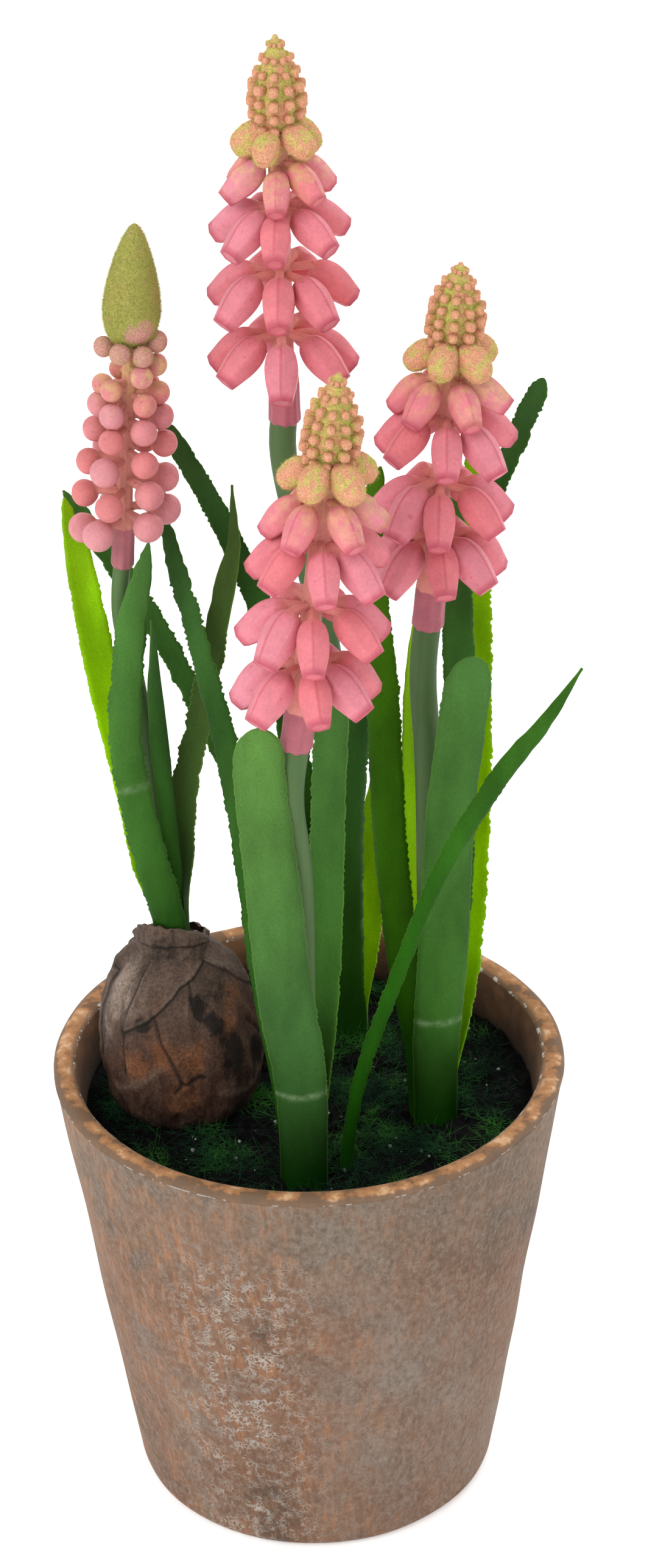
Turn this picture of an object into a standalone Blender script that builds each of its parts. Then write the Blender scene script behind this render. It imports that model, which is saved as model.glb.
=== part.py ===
"""A potted grape hyacinth of the artificial kind: moulded pink florets and plastic leaves on four
stems, standing in dark soil in a weathered clay pot, with one papery bulb resting on the soil.
Metres, +Z up, origin at the centre of the pot's base, +Y away from the viewer."""

import math
from collections import namedtuple

import bmesh
import bpy
import numpy as np

# Driving dimensions of the pot
POT_HEIGHT = 0.114
RIM_RADIUS = 0.060
BASE_RADIUS = 0.0433
POT_WALL = 0.0053
POT_FLOOR = 0.006
LIP_RISE = 0.0016
FOOT_ROUND = 0.0028
POT_SIDES = 36

# The soil, and how deep the holes in it are
SOIL_TOP = 0.102
SOIL_SWELL = 0.0004
SOIL_EDGE = 0.001
STEM_HOLE_DEPTH = 0.034
LEAF_HOLE_DEPTH = 0.012
BORE_SIDES = 12
PAST_SURFACE = 0.004

# Clearance between pieces that touch on the real thing
GAP = 0.0003

# Each stem's foot in the soil, and the rings of leaf feet wrapped round it
STEM_RADIUS = 0.003
BULB_STEM_RADIUS = 0.0019
LEAF_THICK = 0.0007
LEAF_CLEARANCE = 0.0005
RING_PITCH = 0.0012
FRONT_FOOT = (-0.0013, -0.0323)
BACK_FOOT = (0.0105, 0.0270)
RIGHT_FOOT = (0.0283, -0.0085)
BULB_FOOT = (-0.0310, 0.0020)
GRASS_FOOT = (0.0085, -0.0315)
GRASS_HOLE_RADIUS = 0.0023
GRASS_GUTTER_RADIUS = 0.004

# The bulb that rests on the soil, left of the stems, and its torn collar
BULB_RADIUS = 0.0187
BULB_CENTRE = (-0.0295, 0.0020)
BULB_FLOOR = 0.0985
BULB_NECK_TOP = 0.1440
BULB_NECK_RADIUS = 0.0064
BULB_SOCKET_DEPTH = 0.016
BULB_SIDES = 20
BULB_OUTLINE = ((0.62, 0.0), (0.88, 0.088), (1.00, 0.25), (1.00, 0.42), (0.95, 0.58), (0.84, 0.75),
                (0.67, 0.89), (BULB_NECK_RADIUS / BULB_RADIUS, 1.0))
FIVE_FOLDS = 0.00035
ELEVEN_FOLDS = 0.0002
COLLAR_HEIGHT = 0.0044
COLLAR_THICK = 0.0008
COLLAR_FLAP = 0.0016
COLLAR_FLAP_ANGLE = -0.2
COLLAR_FLAP_HALF = 0.45
COLLAR_LEAN = 0.0020
COLLAR_BACK_DROP = 0.0012
LONG_TEARS = 0.0010
SHORT_TEARS = 0.0007

# Flower heads: a sleeve over the stem's end, the middle tube, and the spigots that join the pieces
SLEEVE_RADIUS = 0.0034
SLEEVE_LENGTH = 0.010
SLEEVE_TAPER = 0.94
TUBE_START = 0.016
TUBE_RADIUS = 0.0023
TUBE_TAPER = 0.85
TUBE_FLUTES = 0.05
SPIGOT_RADIUS = 0.0015
SPIGOT_SHARE = 0.6
SPIGOT_LENGTH = 0.010
TIP_SPIGOT_LENGTH = 0.006
SOCKET_SIDES = 10
SOCKET_MOUTH = 0.002
BALL_HEAD_THIN = 0.72

# Distance along a path on each side of a point over which its heading is taken
HEADING_REACH = 0.002
PATH_SAMPLES = 16


def clear_scene():
    for obj in list(bpy.data.objects):
        bpy.data.objects.remove(obj, do_unlink=True)


def material(name, colour, roughness, metallic=0.0):
    """A Principled material, made once and shared by name."""
    found = bpy.data.materials.get(name)
    if found:
        return found
    made = bpy.data.materials.new(name)
    made.use_nodes = True
    shader = made.node_tree.nodes["Principled BSDF"]
    shader.inputs["Base Color"].default_value = (*colour, 1.0)
    shader.inputs["Roughness"].default_value = roughness
    shader.inputs["Metallic"].default_value = metallic
    return made


def mesh_object(name, points, faces, finish=None):
    mesh = bpy.data.meshes.new(name)
    mesh.from_pydata([tuple(point) for point in points], [], [tuple(face) for face in faces])
    mesh.validate()
    obj = bpy.data.objects.new(name, mesh)
    bpy.context.scene.collection.objects.link(obj)
    if finish:
        mesh.materials.append(finish)
    return obj


def smooth(obj, degrees=40):
    obj.data.shade_smooth()
    obj.data.set_sharp_from_angle(angle=math.radians(degrees))


def rings_to_solid(rings):
    """Points and faces of a closed solid through rings of equal count, with flat ends."""
    rings = np.asarray(rings)
    count, sides = rings.shape[:2]
    faces = []
    for row in range(count - 1):
        for side in range(sides):
            near = row * sides + side
            next_near = row * sides + (side + 1) % sides
            faces.append((near, next_near, next_near + sides, near + sides))
    faces.append(tuple(range(sides - 1, -1, -1)))
    faces.append(tuple(range((count - 1) * sides, count * sides)))
    return rings.reshape(-1, 3), faces


def turned(profile, sides, centre=(0.0, 0.0)):
    """Rings of a turned shape, from (radius, height) pairs that run upwards on the outside."""
    angles = np.arange(sides) * math.tau / sides
    rings = []
    for radius, height in profile:
        rings.append(np.stack([centre[0] + radius * np.cos(angles),
                               centre[1] + radius * np.sin(angles),
                               np.full(sides, height)], axis=1))
    return np.array(rings)


def union(body, parts):
    """Joins the parts to the body in one solid, and removes them."""
    group = bpy.data.collections.new("join")
    bpy.context.scene.collection.children.link(group)
    for part in parts:
        bpy.context.scene.collection.objects.unlink(part)
        group.objects.link(part)
    change_mesh(body, "UNION", group)
    for part in parts:
        bpy.data.objects.remove(part, do_unlink=True)
    bpy.data.collections.remove(group)


def carve(body, cutters):
    """Cuts the cutters out of the body, and removes them."""
    group = bpy.data.collections.new("cut")
    bpy.context.scene.collection.children.link(group)
    for cutter in cutters:
        bpy.context.scene.collection.objects.unlink(cutter)
        group.objects.link(cutter)
    change_mesh(body, "DIFFERENCE", group)
    for cutter in cutters:
        bpy.data.objects.remove(cutter, do_unlink=True)
    bpy.data.collections.remove(group)


def change_mesh(body, operation, group):
    boolean = body.modifiers.new("join", "BOOLEAN")
    boolean.operation = operation
    boolean.operand_type = "COLLECTION"
    boolean.collection = group
    boolean.solver = "MANIFOLD"
    bpy.context.view_layer.update()
    graph = bpy.context.evaluated_depsgraph_get()
    changed = bpy.data.meshes.new_from_object(body.evaluated_get(graph))
    body.modifiers.clear()
    body.data = changed


def smooth_path(points, step):
    """A Catmull-Rom curve through the points, sampled evenly about every step."""
    points = np.asarray(points, float)
    ends = np.vstack([2 * points[0] - points[1], points, 2 * points[-1] - points[-2]])
    fine = []
    for index in range(1, len(ends) - 2):
        before, start, end, after = ends[index - 1:index + 3]
        t = np.linspace(0.0, 1.0, PATH_SAMPLES, endpoint=False)[:, None]
        fine.append(0.5 * (2 * start + (end - before) * t
                           + (2 * before - 5 * start + 4 * end - after) * t ** 2
                           + (3 * start - before - 3 * end + after) * t ** 3))
    fine = np.vstack([*fine, points[-1:]])
    along = np.concatenate([[0.0], np.cumsum(np.linalg.norm(np.diff(fine, axis=0), axis=1))])
    count = max(3, round(along[-1] / step) + 1)
    return fine, along, np.linspace(0.0, along[-1], count)


def at(fine, along, places):
    return np.stack([np.interp(places, along, fine[:, axis]) for axis in range(3)], axis=1)


def unit(vectors):
    return vectors / np.linalg.norm(vectors, axis=-1, keepdims=True)


def headings(fine, along, places):
    """Unit vectors along the path at the places."""
    before = at(fine, along, np.maximum(places - HEADING_REACH, 0.0))
    after = at(fine, along, np.minimum(places + HEADING_REACH, along[-1]))
    return unit(after - before)


# Pot

def pot_radius(height):
    """The pot's outer radius at a height: a straight taper from the base to the rim."""
    return BASE_RADIUS + (RIM_RADIUS - BASE_RADIUS) * height / POT_HEIGHT


def build_pot():
    """A turned tapering pot with an eased foot, a rounded lip and a plain inner wall."""
    clay = material("weathered_clay", (0.33, 0.25, 0.19), 0.9)
    outline = []
    for angle in np.radians((0, 45, 90)):
        outline.append((pot_radius(FOOT_ROUND) - FOOT_ROUND * (1 - math.sin(angle)),
                        FOOT_ROUND * (1 - math.cos(angle))))
    outline.append((pot_radius(POT_HEIGHT / 2), POT_HEIGHT / 2))
    for angle in np.radians((0, 45, 90, 135, 180)):
        outline.append((RIM_RADIUS - POT_WALL / 2 * (1 - math.cos(angle)),
                        POT_HEIGHT - LIP_RISE * (1 - math.sin(angle))))
    outline.append((pot_radius(SOIL_TOP) - POT_WALL, SOIL_TOP))
    outline.append((pot_radius(POT_FLOOR) - POT_WALL, POT_FLOOR))
    points, faces = rings_to_solid(turned(outline, POT_SIDES))
    smooth(mesh_object("pot", points, faces, clay), 50)


# Soil

def soil_radius(height):
    """The pot's inner radius at a height, less the clearance."""
    return pot_radius(height) - POT_WALL - 2 * GAP


def build_soil():
    """A turned plug with a gently uneven top, bored for every stem and cluster of leaf feet."""
    dark = material("dark_soil", (0.018, 0.020, 0.015), 1.0)
    floor = POT_FLOOR + GAP
    rim = soil_radius(SOIL_TOP)
    rings = list(turned([(soil_radius(floor), floor), (rim, SOIL_TOP - SOIL_EDGE)], POT_SIDES))
    for row, share in enumerate((0.99, 0.76, 0.46, 0.15)):
        ring = turned([(share * rim, SOIL_TOP)], POT_SIDES)[0]
        angle = np.arctan2(ring[:, 1], ring[:, 0])
        if row > 0:
            ring[:, 2] += SOIL_SWELL * (np.sin(3 * angle + 1.7 * row) + 0.6 * np.cos(7 * angle + row))
        rings.append(ring)
    points, faces = rings_to_solid(rings)
    soil = mesh_object("soil", points, faces, dark)
    cutters = [bore("grass_bore", GRASS_FOOT, GRASS_HOLE_RADIUS, LEAF_HOLE_DEPTH)]
    for foot, rings_used in ((FRONT_FOOT, 3), (BACK_FOOT, 2), (RIGHT_FOOT, 3)):
        cutters.append(bore("leaf_bore", foot, cluster_radius(rings_used, STEM_RADIUS), LEAF_HOLE_DEPTH))
        cutters.append(bore("stem_bore", foot, STEM_RADIUS + GAP, STEM_HOLE_DEPTH))
    points, faces = rings_to_solid(bulb_rings(GAP))
    cutters.append(mesh_object("bulb_seat", points, faces))
    carve(soil, cutters)


def bore(name, foot, radius, depth):
    profile = [(radius, SOIL_TOP - depth), (radius, SOIL_TOP + PAST_SURFACE)]
    points, faces = rings_to_solid(turned(profile, BORE_SIDES, foot))
    return mesh_object(name, points, faces)


# Bulb

def bulb_rings(grow=0.0):
    """The bulb's outline, turned with a few soft folds, leaning over towards the neck."""
    tall = BULB_NECK_TOP - BULB_FLOOR
    rings = turned([(share * BULB_RADIUS + grow, BULB_FLOOR + rise * tall - grow * (rise == 0.0))
                    for share, rise in BULB_OUTLINE], BULB_SIDES, BULB_CENTRE)
    angles = np.arange(BULB_SIDES) * math.tau / BULB_SIDES
    fold = FIVE_FOLDS * np.sin(5 * angles + 0.6) + ELEVEN_FOLDS * np.sin(11 * angles)
    away = np.stack([np.cos(angles), np.sin(angles)], axis=1)
    lean = np.array(BULB_FOOT) - np.array(BULB_CENTRE)
    for row, (_, rise) in enumerate(BULB_OUTLINE):
        if 0.0 < rise < 1.0:
            rings[row, :, :2] += away * fold[:, None]
        rings[row, :, :2] += lean * rise ** 2
    return rings


def build_bulb():
    paper = material("bulb_skin", (0.30, 0.20, 0.14), 0.8)
    points, faces = rings_to_solid(bulb_rings())
    bulb = mesh_object("bulb", points, faces, paper)
    wide = cluster_radius(3, BULB_STEM_RADIUS)
    profile = [(wide, BULB_NECK_TOP - BULB_SOCKET_DEPTH), (wide, BULB_NECK_TOP + PAST_SURFACE)]
    points, faces = rings_to_solid(turned(profile, BULB_SIDES, BULB_FOOT))
    carve(bulb, [mesh_object("neck_socket", points, faces)])
    smooth(bulb, 60)


def build_collar():
    """The torn upper edge of the papery skin, round the neck and leaning left, one flap curled out."""
    straw = material("bulb_collar", (0.36, 0.28, 0.20), 0.85)
    angles = np.arange(BULB_SIDES) * math.tau / BULB_SIDES
    torn = LONG_TEARS * np.sin(4 * angles + 1.0) + SHORT_TEARS * np.sin(7 * angles + 2.0)
    torn -= COLLAR_BACK_DROP * np.sin(angles)
    off_flap = np.angle(np.exp(1j * (angles - COLLAR_FLAP_ANGLE)))
    flap = COLLAR_FLAP * np.exp(-(off_flap / COLLAR_FLAP_HALF) ** 2) + COLLAR_LEAN * (1 - np.cos(angles)) / 2
    away = np.stack([np.cos(angles), np.sin(angles), np.zeros_like(angles)], axis=1)
    lower, upper = bulb_rings()[-2:]
    inner = []
    for share, lift in ((0.25, 0.0), (0.97, 0.1), (1.0, 1.0)):
        row = lower + (upper - lower) * share + away * (2 * GAP + flap * lift ** 2)[:, None]
        row[:, 2] += lift * (COLLAR_HEIGHT + torn)
        inner.append(row)
    outer = [row + away * COLLAR_THICK for row in inner]
    points, faces = rings_to_solid([*outer, *inner[::-1]])
    del faces[-2:]
    last = (2 * len(inner) - 1) * BULB_SIDES
    for side in range(BULB_SIDES):
        beside = (side + 1) % BULB_SIDES
        faces.append((last + side, last + beside, beside, side))
    mesh_object("bulb_collar", points, faces, straw)


# Leaves, whose feet stand in rings round a stem

def ring_radius(ring, stem_radius):
    """Mid-radius of leaf ring 1, 2 or 3 round a stem."""
    return stem_radius + LEAF_CLEARANCE + LEAF_THICK / 2 + (ring - 1) * RING_PITCH


def cluster_radius(rings_used, stem_radius):
    """Radius of the hole that clears a stem with this many rings of leaves."""
    return ring_radius(rings_used, stem_radius) + LEAF_THICK / 2 + GAP


Leaf = namedtuple("Leaf", "name foot stem ring faces turned path widths tip blunt opens cup teeth")

LEAVES = (
    Leaf("leaf_front_broad", FRONT_FOOT, STEM_RADIUS, 3, -95, -85,
         ((-0.002, -0.0395, 0.131), (-0.005, -0.040, 0.157), (-0.007, -0.0405, 0.184),
          (-0.009, -0.041, 0.209), (-0.009, -0.041, 0.2226)),
         (0.0125, 0.0128, 0.0125, 0.0116, 0.0112), 0.009, 0.5, 0.05, 1.2, 0.02),
    Leaf("leaf_front_left", FRONT_FOOT, STEM_RADIUS, 2, 185, 250,
         ((-0.0095, -0.025, 0.137), (-0.0125, -0.012, 0.167), (-0.0165, -0.002, 0.192),
          (-0.022, 0.007, 0.215), (-0.027, 0.0165, 0.231), (-0.0300, 0.0245, 0.2430)),
         (0.0080, 0.0068, 0.0062, 0.0060, 0.0052, 0.0046), 0.016, 0.6, 0.06, 0.9, 0.05),
    Leaf("leaf_front_inner", FRONT_FOOT, STEM_RADIUS, 1, 60, 75,
         ((0.0035, -0.025, 0.142), (0.005, -0.020, 0.172), (0.006, -0.0165, 0.197),
          (0.0075, -0.013, 0.221)),
         (0.0076, 0.0080, 0.0082, 0.0078), 0.012, 0.6, 0.05, 1.0, 0.03),
    Leaf("leaf_grass", GRASS_FOOT, 0.0, 0, -60, -80,
         ((0.012, -0.031, 0.1285), (0.020, -0.0295, 0.1525), (0.0295, -0.028, 0.178),
          (0.0425, -0.0265, 0.201), (0.052, -0.026, 0.214), (0.060, -0.025, 0.2267)),
         (0.0034, 0.0035, 0.0036, 0.0050, 0.0048, 0.0036), 0.030, 0.8, 0.03, 1.3, 0.04),
    Leaf("leaf_back_far_left", BACK_FOOT, STEM_RADIUS, 2, 180, 112,
         ((-0.0010, 0.0263, 0.139), (-0.0165, 0.0245, 0.1765), (-0.0295, 0.0235, 0.208),
          (-0.041, 0.0225, 0.231), (-0.0515, 0.022, 0.249)),
         (0.0060, 0.0055, 0.0054, 0.0052, 0.0050), 0.018, 0.6, 0.03, 1.0, 0.05),
    Leaf("leaf_back_left", BACK_FOOT, STEM_RADIUS, 1, 185, 105,
         ((0.0045, 0.0268, 0.1435), (-0.0015, 0.026, 0.177), (-0.0055, 0.0258, 0.206),
          (-0.014, 0.0255, 0.232), (-0.0225, 0.025, 0.251), (-0.030, 0.025, 0.2645)),
         (0.0062, 0.0066, 0.0068, 0.0062, 0.0050, 0.0044), 0.010, 0.5, 0.09, 1.0, 0.03),
    Leaf("leaf_back_centre", BACK_FOOT, STEM_RADIUS, 2, -90, -82,
         ((0.0098, 0.0205, 0.122), (0.010, 0.019, 0.156), (0.0117, 0.018, 0.184),
          (0.015, 0.017, 0.2045)),
         (0.0082, 0.0084, 0.0082, 0.0078), 0.014, 0.6, 0.06, 0.9, 0.04),
    Leaf("leaf_back_right", BACK_FOOT, STEM_RADIUS, 1, 45, 75,
         ((0.0145, 0.0312, 0.120), (0.0160, 0.0325, 0.138), (0.0172, 0.034, 0.155),
          (0.0185, 0.036, 0.1755)),
         (0.0070, 0.0072, 0.0074, 0.0066), 0.026, 0.8, 0.03, 0.8, 0.06),
    Leaf("leaf_right_left", RIGHT_FOOT, STEM_RADIUS, 2, 222, 250,
         ((0.0238, -0.0134, 0.124), (0.0216, -0.0118, 0.147), (0.0190, -0.0055, 0.174),
          (0.0180, 0.0035, 0.203), (0.0165, 0.0105, 0.224), (0.016, 0.0135, 0.242), (0.0185, 0.016, 0.256)),
         (0.0088, 0.0086, 0.0084, 0.0082, 0.0080, 0.0070, 0.0055), 0.014, 0.6, 0.05, 1.0, 0.03),
    Leaf("leaf_right_hidden", RIGHT_FOOT, STEM_RADIUS, 1, 160, 118,
         ((0.0252, -0.001, 0.134), (0.0246, 0.006, 0.172), (0.0250, 0.010, 0.201),
          (0.0265, 0.0135, 0.222)),
         (0.0060, 0.0060, 0.0060, 0.0050), 0.020, 0.7, 0.06, 0.9, 0.03),
    Leaf("leaf_right_front", RIGHT_FOOT, STEM_RADIUS, 3, -75, -82,
         ((0.0298, -0.0165, 0.126), (0.031, -0.0165, 0.152), (0.0325, -0.0155, 0.183),
          (0.035, -0.0140, 0.206), (0.0375, -0.0125, 0.2235)),
         (0.0122, 0.0118, 0.0114, 0.0112, 0.0108), 0.009, 0.5, 0.05, 1.2, 0.02),
    Leaf("leaf_right_inner", RIGHT_FOOT, STEM_RADIUS, 1, 40, 78,
         ((0.0325, -0.003, 0.127), (0.0352, 0.004, 0.163), (0.036, 0.0105, 0.199),
          (0.0352, 0.0165, 0.226), (0.034, 0.0205, 0.248), (0.034, 0.023, 0.267)),
         (0.0074, 0.0076, 0.0078, 0.0076, 0.0066, 0.0050), 0.016, 0.6, 0.05, 1.0, 0.03),
    Leaf("leaf_right_upright", RIGHT_FOOT, STEM_RADIUS, 2, 20, 72,
         ((0.035, -0.004, 0.1205), (0.0372, 0.002, 0.142), (0.039, 0.008, 0.165),
          (0.0400, 0.017, 0.206), (0.0400, 0.024, 0.240), (0.0408, 0.029, 0.2675)),
         (0.0078, 0.0078, 0.0078, 0.0074, 0.0066, 0.0052), 0.018, 0.6, 0.04, 1.0, 0.05),
    Leaf("leaf_right_far", RIGHT_FOOT, STEM_RADIUS, 3, 88, 76,
         ((0.0320, 0.003, 0.125), (0.0345, 0.010, 0.147), (0.036, 0.018, 0.183),
          (0.0376, 0.026, 0.215), (0.0415, 0.032, 0.234), (0.0495, 0.035, 0.2535), (0.0555, 0.037, 0.2670)),
         (0.0074, 0.0070, 0.0066, 0.0060, 0.0056, 0.0052, 0.0050), 0.006, 0.5, 0.04, 1.0, 0.04),
    Leaf("leaf_bulb_front", BULB_FOOT, BULB_STEM_RADIUS, 3, -90, -80,
         ((-0.0322, -0.0045, 0.158), (-0.0352, -0.0045, 0.173), (-0.038, -0.0035, 0.188),
          (-0.039, -0.001, 0.2025), (-0.037, 0.003, 0.2225), (-0.0325, 0.0075, 0.2430)),
         (0.0080, 0.0080, 0.0078, 0.0076, 0.0070, 0.0044), 0.020, 0.6, 0.022, 0.9, 0.03),
    Leaf("leaf_bulb_left", BULB_FOOT, BULB_STEM_RADIUS, 2, 180, 115,
         ((-0.0369, 0.0045, 0.164), (-0.0405, 0.0075, 0.1885), (-0.044, 0.010, 0.2065),
          (-0.047, 0.0125, 0.225), (-0.049, 0.0145, 0.239), (-0.051, 0.016, 0.250)),
         (0.0062, 0.0070, 0.0080, 0.0080, 0.0070, 0.0056), 0.018, 0.6, 0.02, 1.0, 0.03),
    Leaf("leaf_bulb_right", BULB_FOOT, BULB_STEM_RADIUS, 2, 5, 68,
         ((-0.0275, 0.006, 0.164), (-0.0262, 0.0095, 0.1815), (-0.022, 0.0135, 0.199),
          (-0.0185, 0.0165, 0.216), (-0.0145, 0.0195, 0.235), (-0.0142, 0.022, 0.2495)),
         (0.0060, 0.0068, 0.0064, 0.0058, 0.0052, 0.0036), 0.034, 0.8, 0.02, 0.7, 0.04),
    Leaf("leaf_bulb_inner", BULB_FOOT, BULB_STEM_RADIUS, 1, -35, -55,
         ((-0.0290, 0.0005, 0.156), (-0.0298, 0.0005, 0.1695), (-0.0310, 0.002, 0.187),
          (-0.0320, 0.003, 0.204), (-0.0325, 0.0035, 0.226)),
         (0.0046, 0.0050, 0.0052, 0.0048, 0.0034), 0.034, 0.8, 0.02, 0.8, 0.02),
)

LEAF_STEP = 0.0125
LEAF_UPRIGHT = 0.006
LEAF_BEND_START = 0.001
CLOSED_NECK = 0.003
RAGGED_FROM = 0.012
NARROWEST_TIP = 0.0009
TIP_ROWS = np.array([0.35, 0.65, 0.86, 0.985])
SHARPEST_TIP = 0.995
BROAD_BLADE = 0.0080
FIRST_LEAF_SEED = 40
SOIL_FOOT = SOIL_TOP - LEAF_HOLE_DEPTH + GAP
SOCKET_FOOT = BULB_NECK_TOP - BULB_SOCKET_DEPTH + GAP


def points_across(leaf):
    return 4 if max(leaf.widths) > BROAD_BLADE else 3


def blade_rings(leaf, seed):
    """Rows of a thin gutter-shaped blade: a round foot at its ring that opens as it climbs."""
    in_bulb = leaf.foot is BULB_FOOT
    floor = SOCKET_FOOT if in_bulb else SOIL_FOOT
    mouth = BULB_NECK_TOP if in_bulb else SOIL_TOP
    radius = ring_radius(leaf.ring, leaf.stem) if leaf.ring else GRASS_GUTTER_RADIUS
    out = np.array([math.cos(math.radians(leaf.faces)), math.sin(math.radians(leaf.faces))])
    root = np.array(leaf.foot) + (out * radius if leaf.ring else 0.0)
    path = [(*root, floor), (*root, mouth - LEAF_BEND_START), (*root, mouth + LEAF_UPRIGHT), *leaf.path]
    fine, along, places = smooth_path(path, LEAF_STEP)
    length = along[-1]
    tip_places = length - leaf.tip * (1 - TIP_ROWS)
    places = np.concatenate([places[places < length - leaf.tip], tip_places, [length]])
    middle = at(fine, along, places)
    heading = headings(fine, along, places)
    knots = np.linspace(mouth - floor, length, len(leaf.widths) + 1)
    knots = np.concatenate([[0.0], knots])
    width = np.interp(places, knots, (leaf.widths[0], leaf.widths[0], *leaf.widths))
    end = np.clip((places - (length - leaf.tip)) / leaf.tip, 0.0, SHARPEST_TIP)
    width = np.maximum(width * (1 - end ** 2) ** leaf.blunt, NARROWEST_TIP)
    random = np.random.default_rng(seed)
    above = places > mouth - floor + RAGGED_FROM
    opened = np.clip((places - (mouth - floor) - CLOSED_NECK) / leaf.opens, 0.0, 1.0)
    opened = opened * opened * (3 - 2 * opened)
    bend = (1 - opened) / radius + opened / (leaf.cup * max(leaf.widths))
    facing = np.radians(leaf.faces + (leaf.turned - leaf.faces) * opened)
    outward = np.stack([np.cos(facing), np.sin(facing), np.zeros_like(facing)], axis=1)
    outward = unit(outward - heading * (outward * heading).sum(axis=1, keepdims=True))
    sideways = np.cross(heading, outward)
    rows = []
    for index in range(len(places)):
        ragged = 1 + leaf.teeth * above[index] * random.uniform(-1.0, 1.0, 2)
        half = 0.5 * width[index] * bend[index]
        angles = np.linspace(-half * ragged[0], half * ragged[1], points_across(leaf))[:, None]
        centre = middle[index] - outward[index] / bend[index]
        spoke = outward[index] * np.cos(angles) + sideways[index] * np.sin(angles)
        outer = centre + spoke * (1 / bend[index] + LEAF_THICK / 2)
        inner = centre + spoke * (1 / bend[index] - LEAF_THICK / 2)
        rows.append(np.vstack([outer, inner[::-1]]))
    return np.array(rows)


def blade_faces(rows, across):
    """Triangles cut along the same diagonal on both sides of the blade, so the sides never cross."""
    ring = 2 * across
    faces = []
    for row in range(rows - 1):
        for side in range(ring):
            a = row * ring + side
            b = row * ring + (side + 1) % ring
            if side < across:
                faces.extend([(a, b, b + ring), (a, b + ring, a + ring)])
            else:
                faces.extend([(a, b, a + ring), (b, b + ring, a + ring)])
    for start, turn in ((0, 1), ((rows - 1) * ring, -1)):
        for step in range(across - 1):
            a, b = start + step, start + step + 1
            c, d = start + ring - 2 - step, start + ring - 1 - step
            faces.extend([(a, d, c)[::turn], (a, c, b)[::turn]])
    return faces


def build_leaves():
    green = material("leaf_green", (0.10, 0.24, 0.06), 0.65)
    for index, leaf in enumerate(LEAVES):
        rows = blade_rings(leaf, FIRST_LEAF_SEED + index)
        faces = blade_faces(len(rows), points_across(leaf))
        obj = mesh_object(leaf.name, rows.reshape(-1, 3), faces, green)
        smooth(obj, 50)


# Flower stems and heads

Petal = namedtuple("Petal", "body length width sides")
Whorl = namedtuple("Whorl", "height count phase reach scale droop")
Head = namedtuple("Head", "name foot stem_radius stem_path low high whorls buds")

# A floret's or a ball's body, as (share of its length, share of its width)
FLORET = Petal(((0.0, 0.18), (0.20, 0.42), (0.52, 0.54), (1.0, 0.34)), 0.0128, 0.0070, 5)
BUD = Petal(((0.0, 0.20), (0.22, 0.47), (0.60, 0.54), (1.0, 0.28)), 0.0088, 0.0070, 5)
BALL = Petal(((0.0, 0.20), (0.25, 0.50), (0.70, 0.52), (1.0, 0.22)), 0.0062, 0.0062, 5)
STALK_SHARE = 0.13
ROOT_REACH = 0.0010

# Seeded unevenness of the florets: degrees of turn and droop, and how far one stands above its whorl
SPREAD = 6
RISE_SPREAD = 0.0008
FLORET_SEED = 0
BUD_SEED = 7

HEADS = (
    Head("head_top", BACK_FOOT, STEM_RADIUS,
         ((0.0105, 0.027, 0.150), (0.0065, 0.0255, 0.205)),
         (-0.0022, 0.020, 0.2653), (-0.0024, 0.020, 0.3527),
         (Whorl(0.0210, 7, -90, 0.0152, 1.0, 43), Whorl(0.0355, 7, -95, 0.0155, 1.0, 41),
          Whorl(0.0495, 7, -90, 0.0145, 0.94, 38), Whorl(0.0592, 6, -100, 0.0118, 0.82, 40)),
         Whorl(0.0672, 5, -115, 0.0092, 1.0, 36)),
    Head("head_front", FRONT_FOOT, STEM_RADIUS,
         ((-0.0013, -0.0325, 0.140), (-0.0012, -0.034, 0.180)),
         (-0.0013, -0.036, 0.2148), (0.0090, -0.036, 0.3008),
         (Whorl(0.0205, 7, -86, 0.0148, 1.0, 45), Whorl(0.0345, 7, -88, 0.0152, 1.0, 43),
          Whorl(0.0492, 7, -86, 0.0145, 0.95, 42), Whorl(0.0590, 6, -62, 0.0125, 0.85, 42)),
         Whorl(0.0672, 5, -124, 0.0100, 1.0, 40)),
    Head("head_right", RIGHT_FOOT, STEM_RADIUS,
         ((0.0283, -0.0080, 0.140), (0.0280, -0.0050, 0.190)),
         (0.0280, -0.0020, 0.2256), (0.0351, -0.0020, 0.3104),
         (Whorl(0.0220, 7, -90, 0.0142, 1.0, 48), Whorl(0.0350, 7, -92, 0.0145, 1.0, 44),
          Whorl(0.0500, 7, -92, 0.0145, 0.95, 42), Whorl(0.0592, 6, -72, 0.0125, 0.85, 40)),
         Whorl(0.0672, 5, -118, 0.0098, 1.0, 38)),
)
BALL_HEAD = Head("head_ball", BULB_FOOT, BULB_STEM_RADIUS,
                 ((-0.0318, 0.0030, 0.165), (-0.0360, 0.0065, 0.205)),
                 (-0.0386, 0.010, 0.2361), (-0.0326, 0.010, 0.3157),
                 (Whorl(0.0122, 6, -62, 0.0120, 1.0, 16), Whorl(0.0197, 6, -62, 0.0116, 0.98, 14),
                  Whorl(0.0275, 6, -62, 0.0108, 0.95, 12), Whorl(0.0343, 6, -62, 0.0098, 0.89, 12),
                  Whorl(0.0405, 6, -62, 0.0088, 0.82, 10), Whorl(0.0460, 6, -62, 0.0080, 0.75, 10)),
                 Whorl(0.0528, 6, -62, 0.0078, 0.72, 14))

# How much higher a row of balls stands on the right side of its head
BALL_ROW_LEAN = 0.0018

# Height on the head where the pink tube ends and the flocked tip begins, then where its cone begins
STUDDED_JOIN, STUDDED_CONE = 0.0635, 0.0665
BALL_JOIN, BALL_CONE = 0.0502, 0.0535
STALK_RADIUS = 0.0021
STALK_FLARE = 1.1
CONE_UNDERCUT = 0.0008
CONE_TURN = 0.2

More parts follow.
